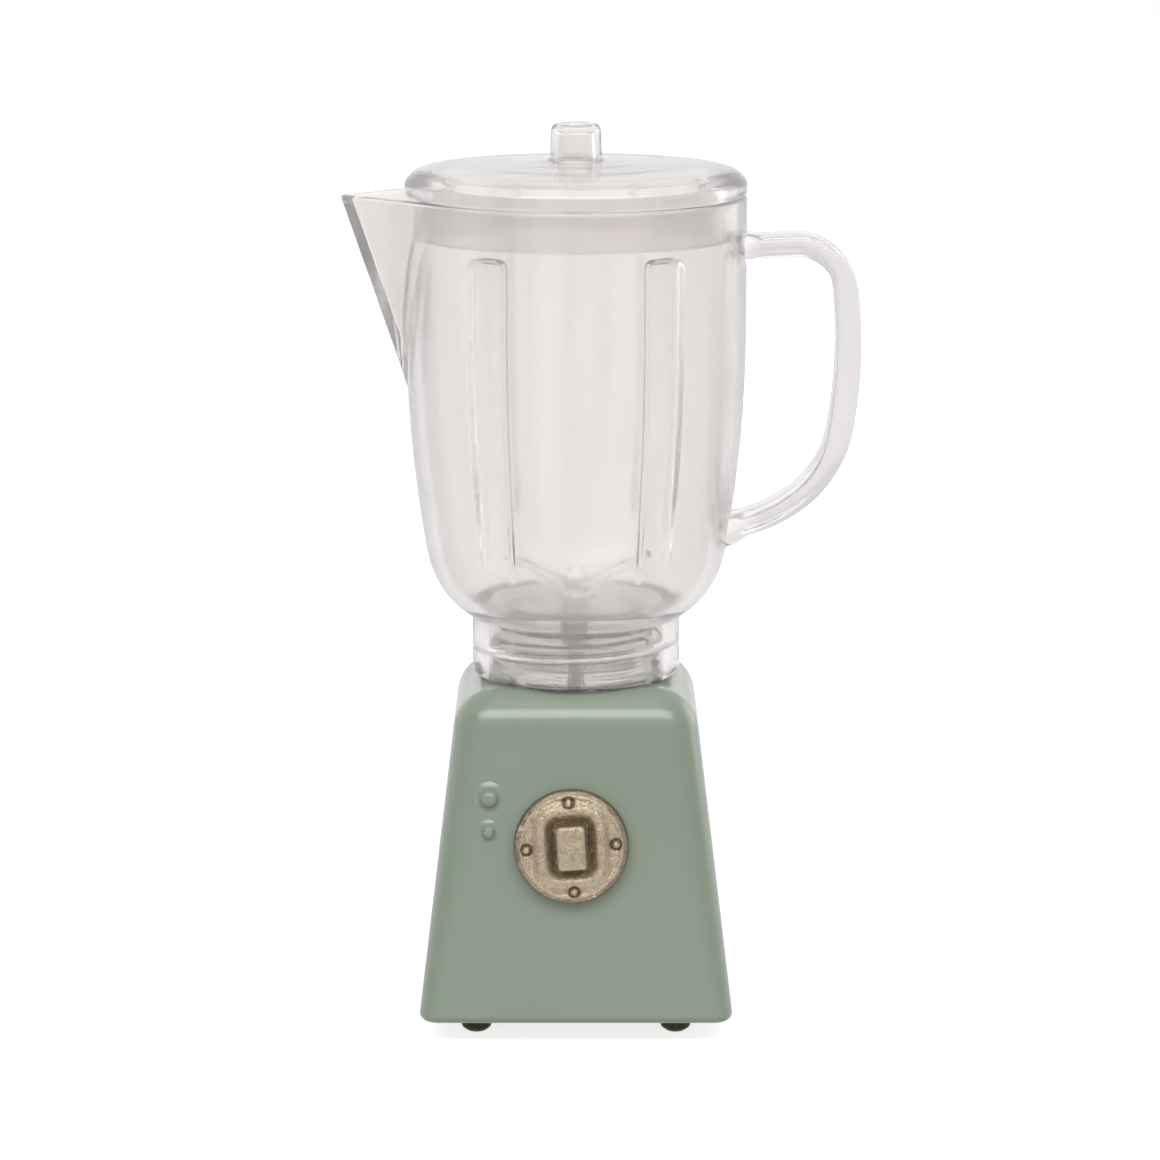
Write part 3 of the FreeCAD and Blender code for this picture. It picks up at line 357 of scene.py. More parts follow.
def combined(first, second, operation):
    """One closed mesh from two, by an exact Boolean: their UNION, or the first less the second with
    DIFFERENCE."""
    host, tool = put_object("boolean_host", first), put_object("boolean_tool", second)
    modifier = host.modifiers.new("boolean", "BOOLEAN")
    modifier.operation = operation
    modifier.solver = "MANIFOLD"
    modifier.object = tool
    ready = host.evaluated_get(bpy.context.evaluated_depsgraph_get())
    mesh = bpy.data.meshes.new_from_object(ready)
    for each in (host, tool):
        bpy.data.objects.remove(each)
    if not mesh.polygons:
        raise RuntimeError(f"the {operation.lower()} is empty")
    return mesh


# ---- shared shader groups

def new_group(name, inputs, outputs):
    """An empty shader group with number sockets: inputs by name and default, outputs by name. Returns it
    with the sockets to read from and the node to fill."""
    group = bpy.data.node_groups.new(name, "ShaderNodeTree")
    for socket, default in inputs.items():
        made = group.interface.new_socket(socket, in_out="INPUT", socket_type="NodeSocketFloat")
        made.default_value = default
    for socket in outputs:
        group.interface.new_socket(socket, in_out="OUTPUT", socket_type="NodeSocketFloat")
    return group, group.nodes.new("NodeGroupInput").outputs, group.nodes.new("NodeGroupOutput")


def fill(tree, made, inputs):
    """Links or sets a node's inputs, given by name or number."""
    for key, value in inputs.items():
        if isinstance(value, bpy.types.NodeSocket):
            tree.links.new(value, made.inputs[key])
        else:
            made.inputs[key].default_value = value
    return made


def node(tree, kind, inputs=None, **values):
    """A node with its own settings in values and its inputs filled."""
    made = tree.nodes.new(kind)
    for key, value in values.items():
        setattr(made, key, value)
    return fill(tree, made, inputs or {})


def maths(tree, operation, first, second=0.0, third=0.0, clamp=False):
    """A Math node's result."""
    return node(tree, "ShaderNodeMath", {0: first, 1: second, 2: third}, operation=operation,
                use_clamp=clamp).outputs[0]


def object_place(tree):
    """The point in the object's own frame, in metres."""
    return node(tree, "ShaderNodeTexCoord").outputs["Object"]


def noise(tree, scale, detail=2.0, roughness=0.5, stretch=(1, 1, 1)):
    """Noise over Object coordinates; scale counts its cells in a metre."""
    place = object_place(tree)
    if stretch != (1, 1, 1):
        place = node(tree, "ShaderNodeMapping", {"Vector": place, "Scale": stretch}).outputs[0]
    return node(tree, "ShaderNodeTexNoise", {"Vector": place, "Scale": scale, "Detail": detail,
                                             "Roughness": roughness}).outputs["Fac"]


def ranged(tree, value, low, high, to_low=0.0, to_high=1.0):
    """The value's range from low to high, spread over another and held to it."""
    return node(tree, "ShaderNodeMapRange", {"Value": value, "From Min": low, "From Max": high,
                                             "To Min": to_low, "To Max": to_high}).outputs[0]


def make_uneven():
    """Group: a soft, uneven mask from noise of a given size, for colour that is never quite one tone."""
    group, ins, outs = new_group("Uneven", {"Size": 200.0}, ["Mask"])
    fill(group, outs, {"Mask": ranged(group, noise(group, ins["Size"], 3.0, 0.55), 0.3, 0.7)})


def make_grain():
    """Group: sand-cast grain, two sizes of noise mixed, as a height and as a mask of its pits."""
    group, ins, outs = new_group("Cast grain", {"Size": 4000.0, "Coarse": 0.35}, ["Height", "Pits"])
    fine = noise(group, ins["Size"], 2.0, 0.6)
    coarse = noise(group, maths(group, "MULTIPLY", ins["Size"], 0.3))
    extra = maths(group, "SUBTRACT", coarse, fine)
    height = maths(group, "MULTIPLY_ADD", extra, ins["Coarse"], fine)
    fill(group, outs, {"Height": height, "Pits": ranged(group, height, 0.56, 0.4)})


def make_worn_edge():
    """Group: a mask of outer edges, where handling thins a finish, broken up by noise."""
    group, ins, outs = new_group("Worn edge", {"Reach": 0.53}, ["Mask"])
    point = node(group, "ShaderNodeNewGeometry").outputs["Pointiness"]
    edge = ranged(group, point, ins["Reach"], 0.6)
    broken = ranged(group, noise(group, 900.0, 4.0), 0.35, 0.6)
    fill(group, outs, {"Mask": maths(group, "MULTIPLY", edge, broken)})


def placed(tree, group, **values):
    """The outputs of a shader group placed in a material with its values."""
    return node(tree, "ShaderNodeGroup", values, node_tree=bpy.data.node_groups[group]).outputs


def mixed_colour(tree, mask, first, second):
    """The first colour where the mask is 0 and the second where it is 1."""
    return node(tree, "ShaderNodeMix", {0: mask, 6: first, 7: second}, data_type="RGBA").outputs[2]


def shade(rgb, factor):
    """A colour made darker or lighter, with alpha 1."""
    return tuple(min(v * factor, 1) for v in rgb) + (1.0,)


def bump(tree, height, strength, distance):
    """A bump's normal from a height, with the height's reach in millimetres."""
    return node(tree, "ShaderNodeBump", {"Height": height, "Strength": strength,
                                         "Distance": distance * MM}).outputs[0]


def new_material(name):
    """Makes an empty material, and gives its tree and its Principled BSDF."""
    material = MATERIALS[name] = bpy.data.materials.new(name)
    material.use_nodes = True
    return material.node_tree, material.node_tree.nodes["Principled BSDF"]


def make_clear_plastic(name, tint, haze, milk, index, streaks=(1, 1, 0.06), depth=0.05, edge=0.76,
                       is_jug=False):
    """Clear styrene: glass with some milkiness, and streaks in tint and surface that run along the mould,
    stretched by the given factors. Where the surface is seen along itself, more of the wall tints it. The
    jug has tints of its own by place, with a painted shadow line at the collar's foot among them, and its
    threaded collar is clearer than the rest."""
    tree, shader = new_material(name)
    run = noise(tree, 260.0, stretch=streaks)
    body = mixed_colour(tree, ranged(tree, run, 0.35, 0.65), shade(tint, 0.95), shade(tint, 1.02))
    along = node(tree, "ShaderNodeLayerWeight", {"Blend": 0.5}).outputs["Facing"]
    grazing = ranged(tree, along, 0.45, 0.92)
    rough = ranged(tree, noise(tree, 260.0), 0.3, 0.7, haze * 0.85, haze * 1.15)
    if is_jug:
        place = node(tree, "ShaderNodeSeparateXYZ", {0: object_place(tree)}).outputs
        over_floor = ranged(tree, place["Z"], 42.6 * MM, 46.0 * MM)
        over_collar = ranged(tree, place["Z"], 38.6 * MM, 40.2 * MM, 0.45, 1.0)
        grazing = maths(tree, "MULTIPLY", grazing, over_floor)
        rough = maths(tree, "MULTIPLY", rough, over_collar)
    body = mixed_colour(tree, grazing, body, shade(tint, edge))
    # Tints by place: a darker thick handle, the spout's nose, and a painted shadow line at the collar's foot.
    for axis, start, full, factor in JUG_TINTS_AND_SHADOW if is_jug else ():
        mask = ranged(tree, place[axis], start * MM, full * MM)
        body = mixed_colour(tree, mask, body, shade(tint, factor))
    fill(tree, shader, {
        "Transmission Weight": 1.0 - milk, "IOR": index, "Metallic": 0.0, "Base Color": body,
        "Roughness": rough, "Normal": bump(tree, run, 0.5, depth)})


def make_enamel(name, tint, gloss, coat):
    """Enamel: an even colour with a very slight drift, a soft orange-peel skin and a coat."""
    tree, shader = new_material(name)
    drift = placed(tree, "Uneven", Size=70.0)["Mask"]
    fill(tree, shader, {
        "Base Color": mixed_colour(tree, drift, shade(tint, 0.985), shade(tint, 1.015)),
        "Roughness": ranged(tree, noise(tree, 300.0, 3.0), 0.3, 0.7, gloss * 0.85, gloss * 1.2),
        "Coat Weight": coat, "Coat Roughness": 0.17,
        "Normal": bump(tree, noise(tree, 900.0), 0.08, 0.05)})


def make_cast(name, tint, shade_and_patina_strength, grain, rough):
    """Sand-cast metal: grain as bump, darker pits, hollows darkened by tarnish together with painted shade,
    and brighter where edges are rubbed.
    """
    tree, shader = new_material(name)
    cast = placed(tree, "Cast grain", Size=grain)
    edge = placed(tree, "Worn edge", Reach=0.52)["Mask"]
    hollow = node(tree, "ShaderNodeAttribute", attribute_name="hollow").outputs["Fac"]
    # The 'hollow' attribute darkens towards near black: tarnish together with painted shade in the recess,
    # the sunk rings and on the dial's rolled edge.
    shade_and_patina_mask = maths(tree, "MULTIPLY", hollow, shade_and_patina_strength, clamp=True)
    tone = mixed_colour(tree, cast["Pits"], shade(tint, 1.14), shade(tint, 0.76))
    tone = mixed_colour(tree, shade_and_patina_mask, tone, shade(tint, 0.09))
    fill(tree, shader, {
        "Base Color": mixed_colour(tree, edge, tone, shade(tint, 1.25)), "Metallic": 1.0,
        "Roughness": ranged(tree, cast["Height"], 0.3, 0.7, rough * 1.2, rough * 0.85),
        "Normal": bump(tree, cast["Height"], 1.0, 0.16)})


def make_steel(name, tint):
    """Zinc-plated steel: a dull bloom over fine uneven gloss."""
    tree, shader = new_material(name)
    bloom = placed(tree, "Uneven", Size=900.0)["Mask"]
    fill(tree, shader, {
        "Base Color": mixed_colour(tree, bloom, shade(tint, 0.85), shade(tint, 1.05)), "Metallic": 1.0,
        "Roughness": ranged(tree, noise(tree, 2500.0, 3.0), 0.3, 0.7, 0.28, 0.45)})


def make_materials():
    """The shared groups, and each finish by name."""
    finish = settings().finish
    make_uneven()
    make_grain()
    make_worn_edge()
    make_clear_plastic("Clear styrene", finish.clear, finish.haze, finish.milk, 1.36, is_jug=True)
    make_clear_plastic("Lid styrene", shade(finish.clear, 1.04)[:3], finish.haze, finish.milk, 1.33)
    make_clear_plastic("Polished clear styrene", (1.0, 0.99, 0.98), 0.05, 0.1, 1.28, (0.25, 0.25, 8.0), 0.4,
                       edge=1.0)
    make_clear_plastic("Thin clear styrene", (1.0, 1.0, 1.0), 0.1, 0.0, 1.14, edge=1.0)
    make_enamel("Mint enamel", finish.mint, 0.4, 1.0)
    make_enamel("Satin mint", finish.mint, 0.5, 0.0)
    make_cast("Cast bronze", finish.bronze, 0.95, 5600.0, 0.4)
    make_cast("Dark bronze", finish.dark_bronze, 0.4, 2600.0, 0.38)
    make_steel("Zinc plated steel", finish.steel)


# ---- jug

def jug_angles():
    """Angles round the jug: even ones, with more at the spout's nose, the flutes and the notches."""
    even = np.linspace(0, TURN, 241)
    nose = math.pi + np.linspace(-0.16, 0.16, 25)
    step = np.linspace(0.085, 0.128, 10)
    step = np.concatenate((-step[::-1], step))
    flutes = [side + sign * settings().jug.flute_angle + step for side in FRONT_AND_BACK for sign in (-1, 1)]
    notches = [TURN / NOTCHES * np.arange(NOTCHES) + offset for offset in (0.05, 0.085, 0.275)]
    every = np.unique(np.round(np.concatenate([even, nose, *flutes, *notches]), 5))
    every = every[(every >= 0) & (every < TURN - 1e-3)]
    keep = np.concatenate(([True], np.diff(every) > 0.003))
    return np.append(every[keep], TURN)


def spout_radius(angles, share, tip, nose, lean):
    """Distance from the axis to the spout's surface, in direction angles: two flat sides, each the line
    with normal (lean, aside), that touch a nose circle of the given radius at the tip."""
    turned = np.abs(angles % TURN - math.pi)
    aside = math.sqrt(1 - lean * lean)
    centre = tip - nose
    flat = (centre * lean + nose) / (lean * np.cos(turned) + aside * np.sin(turned))
    circle = centre * np.cos(turned) + np.sqrt(np.clip(nose ** 2 - (centre * np.sin(turned)) ** 2, 0, None))
    touch = np.arctan2(nose * aside, centre + nose * lean)
    radius = np.where(turned < touch, circle, flat)
    return np.where((turned < math.atan2(aside, lean)) & (share < 1), radius, 0)


def flute_depth(angles, heights):
    """How far the wall is pressed in: a tall panel with round upper corners and a soft step all round, that
    is shallower towards its lower end. The distance to the panel's edge is taken along the wall."""
    jug = Millimetres("jug")
    foot = 9.0
    middle, half_up = (jug.flute_top + foot) / 2, (jug.flute_top - foot) / 2
    depth = 0
    for side in FRONT_AND_BACK:
        for sign in (-1, 1):
            away = (angles - side - sign * settings().jug.flute_angle + math.pi) % TURN - math.pi
            edge = box_distance(away * (jug.mouth - 0.5), heights - middle, jug.flute_width / 2, half_up, 0.9)
            depth = depth + ease(-edge / 0.5)
    return jug.flute_depth * depth * ease((heights - 10.5) / 9.0)


def notch_rise(angles):
    """Height of the ratchet notches in the collar's foot: each is flat, then rises in a short steep step and
    falls in a long ramp."""
    along = (angles % (TURN / NOTCHES)) * NOTCH_RADIUS
    start, top, step, ramp, depth = 0.465, 0.79, 0.325, 1.77, 0.9
    fall = np.clip(1 - (along - top) / ramp, 0, 1)
    return depth * np.where(along < start, 0, np.where(along < top, (along - start) / step, fall))


def ridge(angles, heights, start, turns):
    """Height of a right-hand thread ridge: a trapezoid whose middle rises by the pitch in one turn, from
    start through the given turns, and runs out at both ends."""
    along = (heights - start) / THREAD_PITCH - angles / TURN
    whole = np.round(along)
    off = np.abs(along - whole) * THREAD_PITCH
    travelled = whole + angles / TURN
    fade = ease(travelled / 0.12) * ease((turns - travelled) / 0.12)
    return 0.8 * fade * ease((0.42 - off) / 0.24)


def thread_rows(angles, low, high):
    """Heights of grid rows that follow the thread: each climbs by the pitch in a turn and is held between
    low and high, so that the flanks lie along the rows."""
    offsets = np.array((0.0, 0.12, 0.19, 0.25, 0.31, 0.37, 0.43, 0.6, 0.85, 1.1, 1.27, 1.33, 1.39, 1.45,
                        1.51, 1.58))
    turns = np.arange(-1, math.ceil((high - low) / THREAD_PITCH) + 1)
    starts = (turns[:, None] * THREAD_PITCH + offsets[None, :]).reshape(-1)
    return np.clip(low + starts[:, None] + THREAD_PITCH * angles[None, :] / TURN, low, high)


def jug_grid():
    """The jug's closed surface as rows of points round the axis. Each row has a height and a radius for
    every angle: from the collar's foot up the outside to the rim, down the inside to the floor, through the
    blade's hole and down the threaded bore to the foot again."""
    jug = Millimetres("jug")
    angles = jug_angles()
    height, mouth, hollow, bore = jug.height, jug.mouth, jug.mouth - jug.wall, COLLAR_BORE
    floor, ceiling, hole, rim_round, foot_edge, notch_edge = 7.6, 6.1, 1.2, 0.3, 10.15, 9.9
    below_rim = np.array((0.25, 0.6, 1.2, 2.0, 2.8, 3.3, 3.7, 4.1, 4.5, 4.7, 4.8, 4.9, 5.0, 5.1, 5.2, 5.35,
                          5.5, 5.7, 6.0, 6.4, 7.0, 7.8, 8.8, 9.8, 10.8, 11.8))

    def wall_line(radius, waist, foot, counts):
        """Half section of one side of the wall: upright below the rim, then an arc to the waist and an arc
        to the foot."""
        upright = np.stack((np.full(len(below_rim), radius), height - below_rim), axis=-1)
        upper, heading = tangent_arc((radius, jug.belly_up), (0, -1), waist, counts[0])
        lower, _ = tangent_arc(waist, heading, foot, counts[1])
        return np.concatenate((upright, [(radius, jug.belly_up)], upper, lower))

    def shaped(line, tip, foot, noses, lean, blend):
        """Rows of radius and height for one side of the wall, with the flutes and the spout worked in. The
        spout's tip runs from under the rim to the wall's foot, and its nose between two radii."""
        up = line[:, 1:2]
        radius = line[:, :1] - flute_depth(angles[None, :], up)
        share = (height - up) / jug.spout_drop
        nose = np.clip(noses[0] + (noses[1] - noses[0]) * share, 0.05, None)
        spout = spout_radius(angles[None, :], share, tip + (foot - tip) * share, nose, lean)
        return np.where(spout > 0, soft_max(radius, spout, blend), radius), up

    outer = wall_line(mouth, (jug.shoulder, jug.shoulder_up), (jug.collar, jug.collar_up), (40, 26))
    inner = wall_line(hollow, (13.4, 12.2), (11.0, 7.75), (40, 14))
    outer_r, outer_z = shaped(outer, jug.spout_reach, mouth, (jug.spout_nose, 0.4), 0.7162, 0.5)
    inner_r, inner_z = shaped(inner, jug.spout_reach - jug.wall, hollow, (0.35, 0.35), 0.6876, 0.4)
    rows = []

    def add(radius, up):
        """Adds one row or several."""
        rows.append(around(angles[None, :], np.atleast_2d(radius), np.atleast_2d(up)))

    add(foot_edge, 0.0)
    add(jug.collar, 0.25)
    add(jug.collar, np.linspace(0.8, jug.collar_up - 0.5, 5)[:, None])
    add(outer_r[::-1], outer_z[::-1])
    for edge, shares in ((outer_r[:1], (-0.25, -0.6, -1.0)), (inner_r[:1], (1.0, 0.6, 0.25))):
        for share in shares:
            drop = rim_round * (1 - math.sqrt(1 - (1 - abs(share)) ** 2))
            add(edge + rim_round * share, height - drop)
    add(inner_r, inner_z)
    add(inner_r[-1:] - 0.12, floor + 0.02)
    add(inner_r[-1:] - 0.35, floor)
    for radius, up in ((6.0, floor), (3.0, floor), (hole, floor), (hole, 6.8), (hole, ceiling),
                       (4.0, ceiling), (7.5, ceiling), (8.45, ceiling), (8.7, 6.0), (bore, 5.75)):
        add(radius, up)
    bore_rows = thread_rows(angles, 1.0, 5.7)[::-1]
    add(bore - ridge(angles[None, :], bore_rows, 1.7, 1.5), bore_rows)
    for radius in (bore, 9.35, notch_edge):
        add(radius, notch_rise(angles))
    add(notch_edge, 0.0)
    add(foot_edge, 0.0)
    return np.concatenate(rows) + (0, 0, JUG_FOOT)


def handle_grid():
    """The handle: a strap with rounded edges, carried along a line, two bends and a long bow, that ends
    inside the jug's wall at both ends. Its section swells towards both ends."""
    jug = Millimetres("jug")
    bends = [np.linspace((15.8, 42.7), (21.5, 43.05), 14)]
    heading = (1, 0.05)
    for end, count in (((26.74, 38.6), 28), ((26.3, 24.6), 26), ((22.1, 17.7), 24), ((17.6, 15.3), 10),
                       ((14.2, 14.1), 8)):
        bend, heading = tangent_arc(bends[-1][-1], heading, end, count)
        bends.append(bend)
    path = np.concatenate(bends)
    half, wide, edge = jug.strap_thickness / 2, jug.strap_width / 2, 0.8
    section = rounded([(0, -wide, 0), (half, -wide, edge), (half, wide, edge), (-half, wide, edge),
                       (-half, -wide, edge), (0, -wide, 0)], 8)
    run = np.concatenate(([0], np.cumsum(np.linalg.norm(np.diff(path, axis=0), axis=1))))
    left = run[-1] - run
    swell = 1 + 0.28 * (1 - ease((run - 1.0) / 1.6)) + 0.28 * (1 - ease((left - 1.3) / 1.6))
    swell = swell + 0.12 * ease((run - 9.0) / 5.0) * ease((left - 12.0) / 6.0)
    rings = section[None, :, :] * np.stack((swell, np.ones_like(swell)), axis=-1)[:, None, :]
    grid = strap(path, rings)
    ends = [np.broadcast_to(grid[k].mean(axis=0), grid[k].shape)[None] for k in (0, -1)]
    return np.concatenate((ends[0], grid, ends[1])) + (0, 0, JUG_FOOT)


class DOLLBLENDER_OT_jug(bpy.types.Operator):
    """Builds the clear jug with its spout, flutes, threaded collar and handle"""
    bl_idname = "dollblender.jug"
    bl_label = "Jug"

    def execute(self, context):
        bowl = surface_mesh("bowl", jug_grid())
        mesh = combined(bowl, surface_mesh("handle", handle_grid()), "UNION")
        put_piece("clear_jug", mesh, "Clear styrene", "jug", ["jug"], sharp=32)
        return {"FINISHED"}


# ---- lid

def lid_profile():
    """Half section of the lid from the axis over the top and back under it: a dome arc that falls to a
    rounded rim, a plug skirt and a hollow knob."""
    lid = Millimetres("lid")
    rim, wall, plug, crown, knob, top = lid.rim, lid.wall, lid.plug, lid.crown, lid.knob, lid.knob_height
    foot, knob_wall = knob + 0.2, 0.8
    roll, roll_up = 1.4, 2.55        # where the dome meets the rolled rim: in from the rim, and up
    dome = ((rim - roll) ** 2 + (crown - roll_up) ** 2) / (2 * (crown - roll_up))

    def dome_up(across, sink=0.0):
        """Height of the dome's arc at a distance from the axis."""
        return crown - sink - dome + math.sqrt(dome ** 2 - across ** 2)

    inside = plug - wall
    over = [(0, top, 0), (knob, top, 0.6), (foot, dome_up(foot), 0.45)]
    over += [(across, dome_up(across), 2.0) for across in (6.0, 10.0, 13.5)]
    over += [(rim - 1.15, dome_up(rim - 1.2), 1.6), (rim + 0.02, lid.rim_height + 0.15, 0.9),
             (rim, 0, 0.35), (plug + 0.02, 0, 0.1), (plug, -lid.plug_depth, 0.3),
             (inside, -lid.plug_depth, 0.3), (inside, dome_up(inside, wall), 0.6)]
    over += [(across, dome_up(across, wall), 2.0) for across in (10.0, 6.0)]
    over += [(foot - knob_wall, dome_up(foot, wall), 0.3), (knob - knob_wall, top - knob_wall, 0.3),
             (0, top - knob_wall, 0)]
    return rounded(over, 8) + (0, LID_SEAT)


class DOLLBLENDER_OT_lid(bpy.types.Operator):
    """Builds the clear lid"""
    bl_idname = "dollblender.lid"
    bl_label = "Lid"

    def execute(self, context):
        mesh = surface_mesh("lid", lathe(lid_profile(), 180))
        put_piece("clear_lid", mesh, "Lid styrene", "lid", ["lid"], sharp=50)
        return {"FINISHED"}


# ---- threaded boss and blade

class DOLLBLENDER_OT_boss(bpy.types.Operator):
    """Builds the clear threaded boss on the housing"""
    bl_idname = "dollblender.boss"
    bl_label = "Threaded boss"

    def execute(self, context):
        put_piece("clear_neck_boss", copied("neck_boss"), "Polished clear styrene", "base",
                  ["neck_boss"], flat_faces=True)
        return {"FINISHED"}


class DOLLBLENDER_OT_blade(bpy.types.Operator):
    """Builds the clear blade star in the jug's floor"""
    bl_idname = "dollblender.blade"
    bl_label = "Blade star"

    def execute(self, context):
        put_piece("clear_blade", copied("blade"), "Thin clear styrene", "blade", ["blade"],
                  flat_faces=True)
        return {"FINISHED"}


# ---- housing, base plate and feet

def on_front(flat, across, up):
    """Puts points given as (across, up, out) onto the housing's sloping front, about a place given as
    across and up from the middle of its lower edge."""
    housing = Millimetres("housing")
    cosine, sine = math.cos(HOUSING_SLOPE), math.sin(HOUSING_SLOPE)
    out = flat[..., 2]
    back = -(housing.foot_half - up * math.tan(HOUSING_SLOPE))
    return np.stack((flat[..., 0] + across, flat[..., 1] * sine - out * cosine + back,
                     flat[..., 1] * cosine + out * sine + up + HOUSING_FOOT), axis=-1)


def bump_grid(boss, dome):
    """A round shelf that stands out most at its upper edge and runs out below, with a dome on it in a faint
    ring: height over rings about the middle, closed by a flat back inside the wall."""
    angles = np.linspace(0, TURN, 65)
    rings = np.linspace(0, boss + 0.3, 34)[:, None]
    across, up = rings * np.cos(angles), rings * np.sin(angles)
    lean = 0.5 + 0.5 * np.clip(up / boss, -1, 1)
    away = np.hypot(across, up + 0.22)
    height = 0.36 * lean * np.clip((boss + 0.12 - rings) / 0.68, 0, 1)
    height = height - 0.1 * np.exp(-((away - dome - 0.1) / 0.12) ** 2)
    height = height - 0.03 * ease((rings - boss - 0.1) / 0.2)
    height = height + 0.8 * dome * np.sqrt(np.clip(1 - (away / dome) ** 2, 0, 1))
    face = np.stack((across, up, height), axis=-1)
    return np.concatenate((face, face[-1:] - (0, 0, 0.5), face[:1] - (0, 0, 1.2)))


def housing_grid(inset=0.0):
    """The housing's outside, or its hollow drawn in by the wall: level outlines, each a square whose corners
    are quarter circles. The half width follows the taper; at the lower edge and at the roof's edge it
    follows a quarter round instead. Both ends close at the axis; the hollow starts below the foot."""
    housing = Millimetres("housing")
    lean, edge, hem, deep_top = HOUSING_SLOPE, housing.edge - inset, housing.hem, 11.82
    foot, height = housing.foot_half - inset, housing.height - 0.01 - inset
    slopes = np.array([math.atan((foot - top + inset) / housing.height)
                       for top in (housing.top_half, deep_top)])

    def half_at(up):
        """Half widths of the straight sides at a height, across and deep."""
        return foot - up * np.tan(slopes)

    high = np.radians(np.linspace(math.degrees(lean), 90, 15))[:, None]
    high_up = height - edge + edge * np.sin(high)
    high_half = half_at(high_up[0]) + edge * (np.cos(high) - math.cos(lean))
    low = np.radians(np.linspace(-90, math.degrees(lean), 9))[:, None]
    drawn_in = hem * (np.cos(low) - math.cos(lean))
    low_up = 0.02 + hem + hem * np.sin(low)
    low_half = half_at(low_up[-1]) + drawn_in
    low_corner = housing.foot_edge - inset + drawn_in
    if inset:
        low_up, low_corner = np.array([[-2.0]]), low_corner[-1:]
        low_half = half_at(low_up)
    between = np.linspace(low_up[-1], high_up[0], 10)[1:-1]
    up = np.concatenate((low_up, between, high_up))
    half = np.concatenate((low_half, half_at(between), high_half))
    slow = np.linspace(low_corner[-1], edge * math.cos(lean), 10)[1:-1]
    corner = np.concatenate((low_corner, slow, edge * np.cos(high)))
    quarter = np.linspace(0, math.pi / 2, 15)
    angles = np.concatenate([quarter + side * math.pi / 2 for side in range(4)] + [[TURN]])
    turn_x = np.append(np.repeat([1, -1, -1, 1], 15), 1)
    turn_y = np.append(np.repeat([1, 1, -1, -1], 15), 1)
    across = (half[:, :1] - corner) * turn_x + corner * np.cos(angles)
    deep = (half[:, 1:] - corner) * turn_y + corner * np.sin(angles)
    rows = np.stack((across, deep, np.broadcast_to(up + HOUSING_FOOT, across.shape)), axis=-1)
    ends = rows[[0, -1]] * (0, 0, 1)
    return np.concatenate((ends[:1], rows, ends[1:]))


def pin(radius, low, high, place=(0, 0)):
    """A plain round pin between two heights, as a lathe at a place."""
    return lathe([(0, low), (radius, low), (radius, high), (0, high)], 48) + (*place, 0)


def housing_shell():
    """The shell with its screw posts, the pilot holes in them, the two holes in the roof and the bore for
    the dial's stem."""
    housing = Millimetres("housing")
    roof = HOUSING_FOOT + housing.height
    skin = surface_mesh("skin", housing_grid())
    shell = combined(skin, surface_mesh("hollow", housing_grid(housing.wall)), "DIFFERENCE")
    posts = [surface_mesh("post", pin(1.9, 4.1, roof - 0.6, (out, 0))) for out in (POST_OUT, -POST_OUT)]
    shell = combined(shell, joined("posts", posts), "UNION")
    holes = [pin(0.6, 3.6, 7.25, (out, 0)) for out in (POST_OUT, -POST_OUT)]
    holes += [pin(0.75, roof - 2.4, roof + 1, (0, out)) for out in (ROOF_HOLE_OUT, -ROOF_HOLE_OUT)]
    holes.append(on_front(pin(1.6, -2.5, 1.0), DIAL_MIDDLE[0], DIAL_UP))
    holes = [surface_mesh("hole", hole) for hole in holes]
    return combined(shell, joined("holes", holes), "DIFFERENCE")


class DOLLBLENDER_OT_housing(bpy.types.Operator):
    """Builds the enamelled housing with its two bumps, and finishes the plate under it"""
    bl_idname = "dollblender.housing"
    bl_label = "Housing"

    def execute(self, context):
        bumps = [surface_mesh("bump", on_front(bump_grid(boss, dome), across, up))
                 for across, up, boss, dome in ((-8.5, 22.6, 1.4, 0.86), (-8.6, 19.25, 1.0, 0.62))]
        put_piece("enamel_housing", joined("housing", [housing_shell(), *bumps]), "Mint enamel", "base",
                  ["housing"], sharp=30, flat_faces=True)
        paint(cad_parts["base_plate"].data, "Satin mint")
        return {"FINISHED"}


def foot_profile():
    """Half section of a dome foot with its stem: a flat to stand on, a round belly and a neck under the
    plate."""
    corners = [(0, 0, 0), (0.85, 0, 0.4), (1.45, 0.42, 0.5), (1.65, 1.3, 0.7), (1.6, 2.6, 0.12),
               (0.9, 2.6, 0.0), (0.9, 4.1, 0.15), (0, 4.1, 0)]
    return rounded(corners, 6)


class DOLLBLENDER_OT_feet(bpy.types.Operator):
    """Finishes the four dome feet"""
    bl_idname = "dollblender.feet"
    bl_label = "Feet"

    def execute(self, context):
        for end, deep in (("front", -FOOT_OUT), ("rear", FOOT_OUT)):
            for side, across in (("left", -FOOT_OUT), ("right", FOOT_OUT)):
                mesh = surface_mesh("foot", lathe(foot_profile(), 64) + (across, deep, 0))
                put_piece(f"bronze_foot_{end}_{side}", mesh, "Dark bronze", "base",
                          [f"foot_{end}_{side}"], sharp=50)
        return {"FINISHED"}


class DOLLBLENDER_OT_screws(bpy.types.Operator):
    """Finishes the screws and the dial's washer"""
    bl_idname = "dollblender.screws"
    bl_label = "Screws and washer"

    def execute(self, context):
        for node_name in ("plate_screws", "boss_screws", "dial_screw", "dial_washer"):
            paint(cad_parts[node_name].data, "Zinc plated steel")
        return {"FINISHED"}


# ---- dial

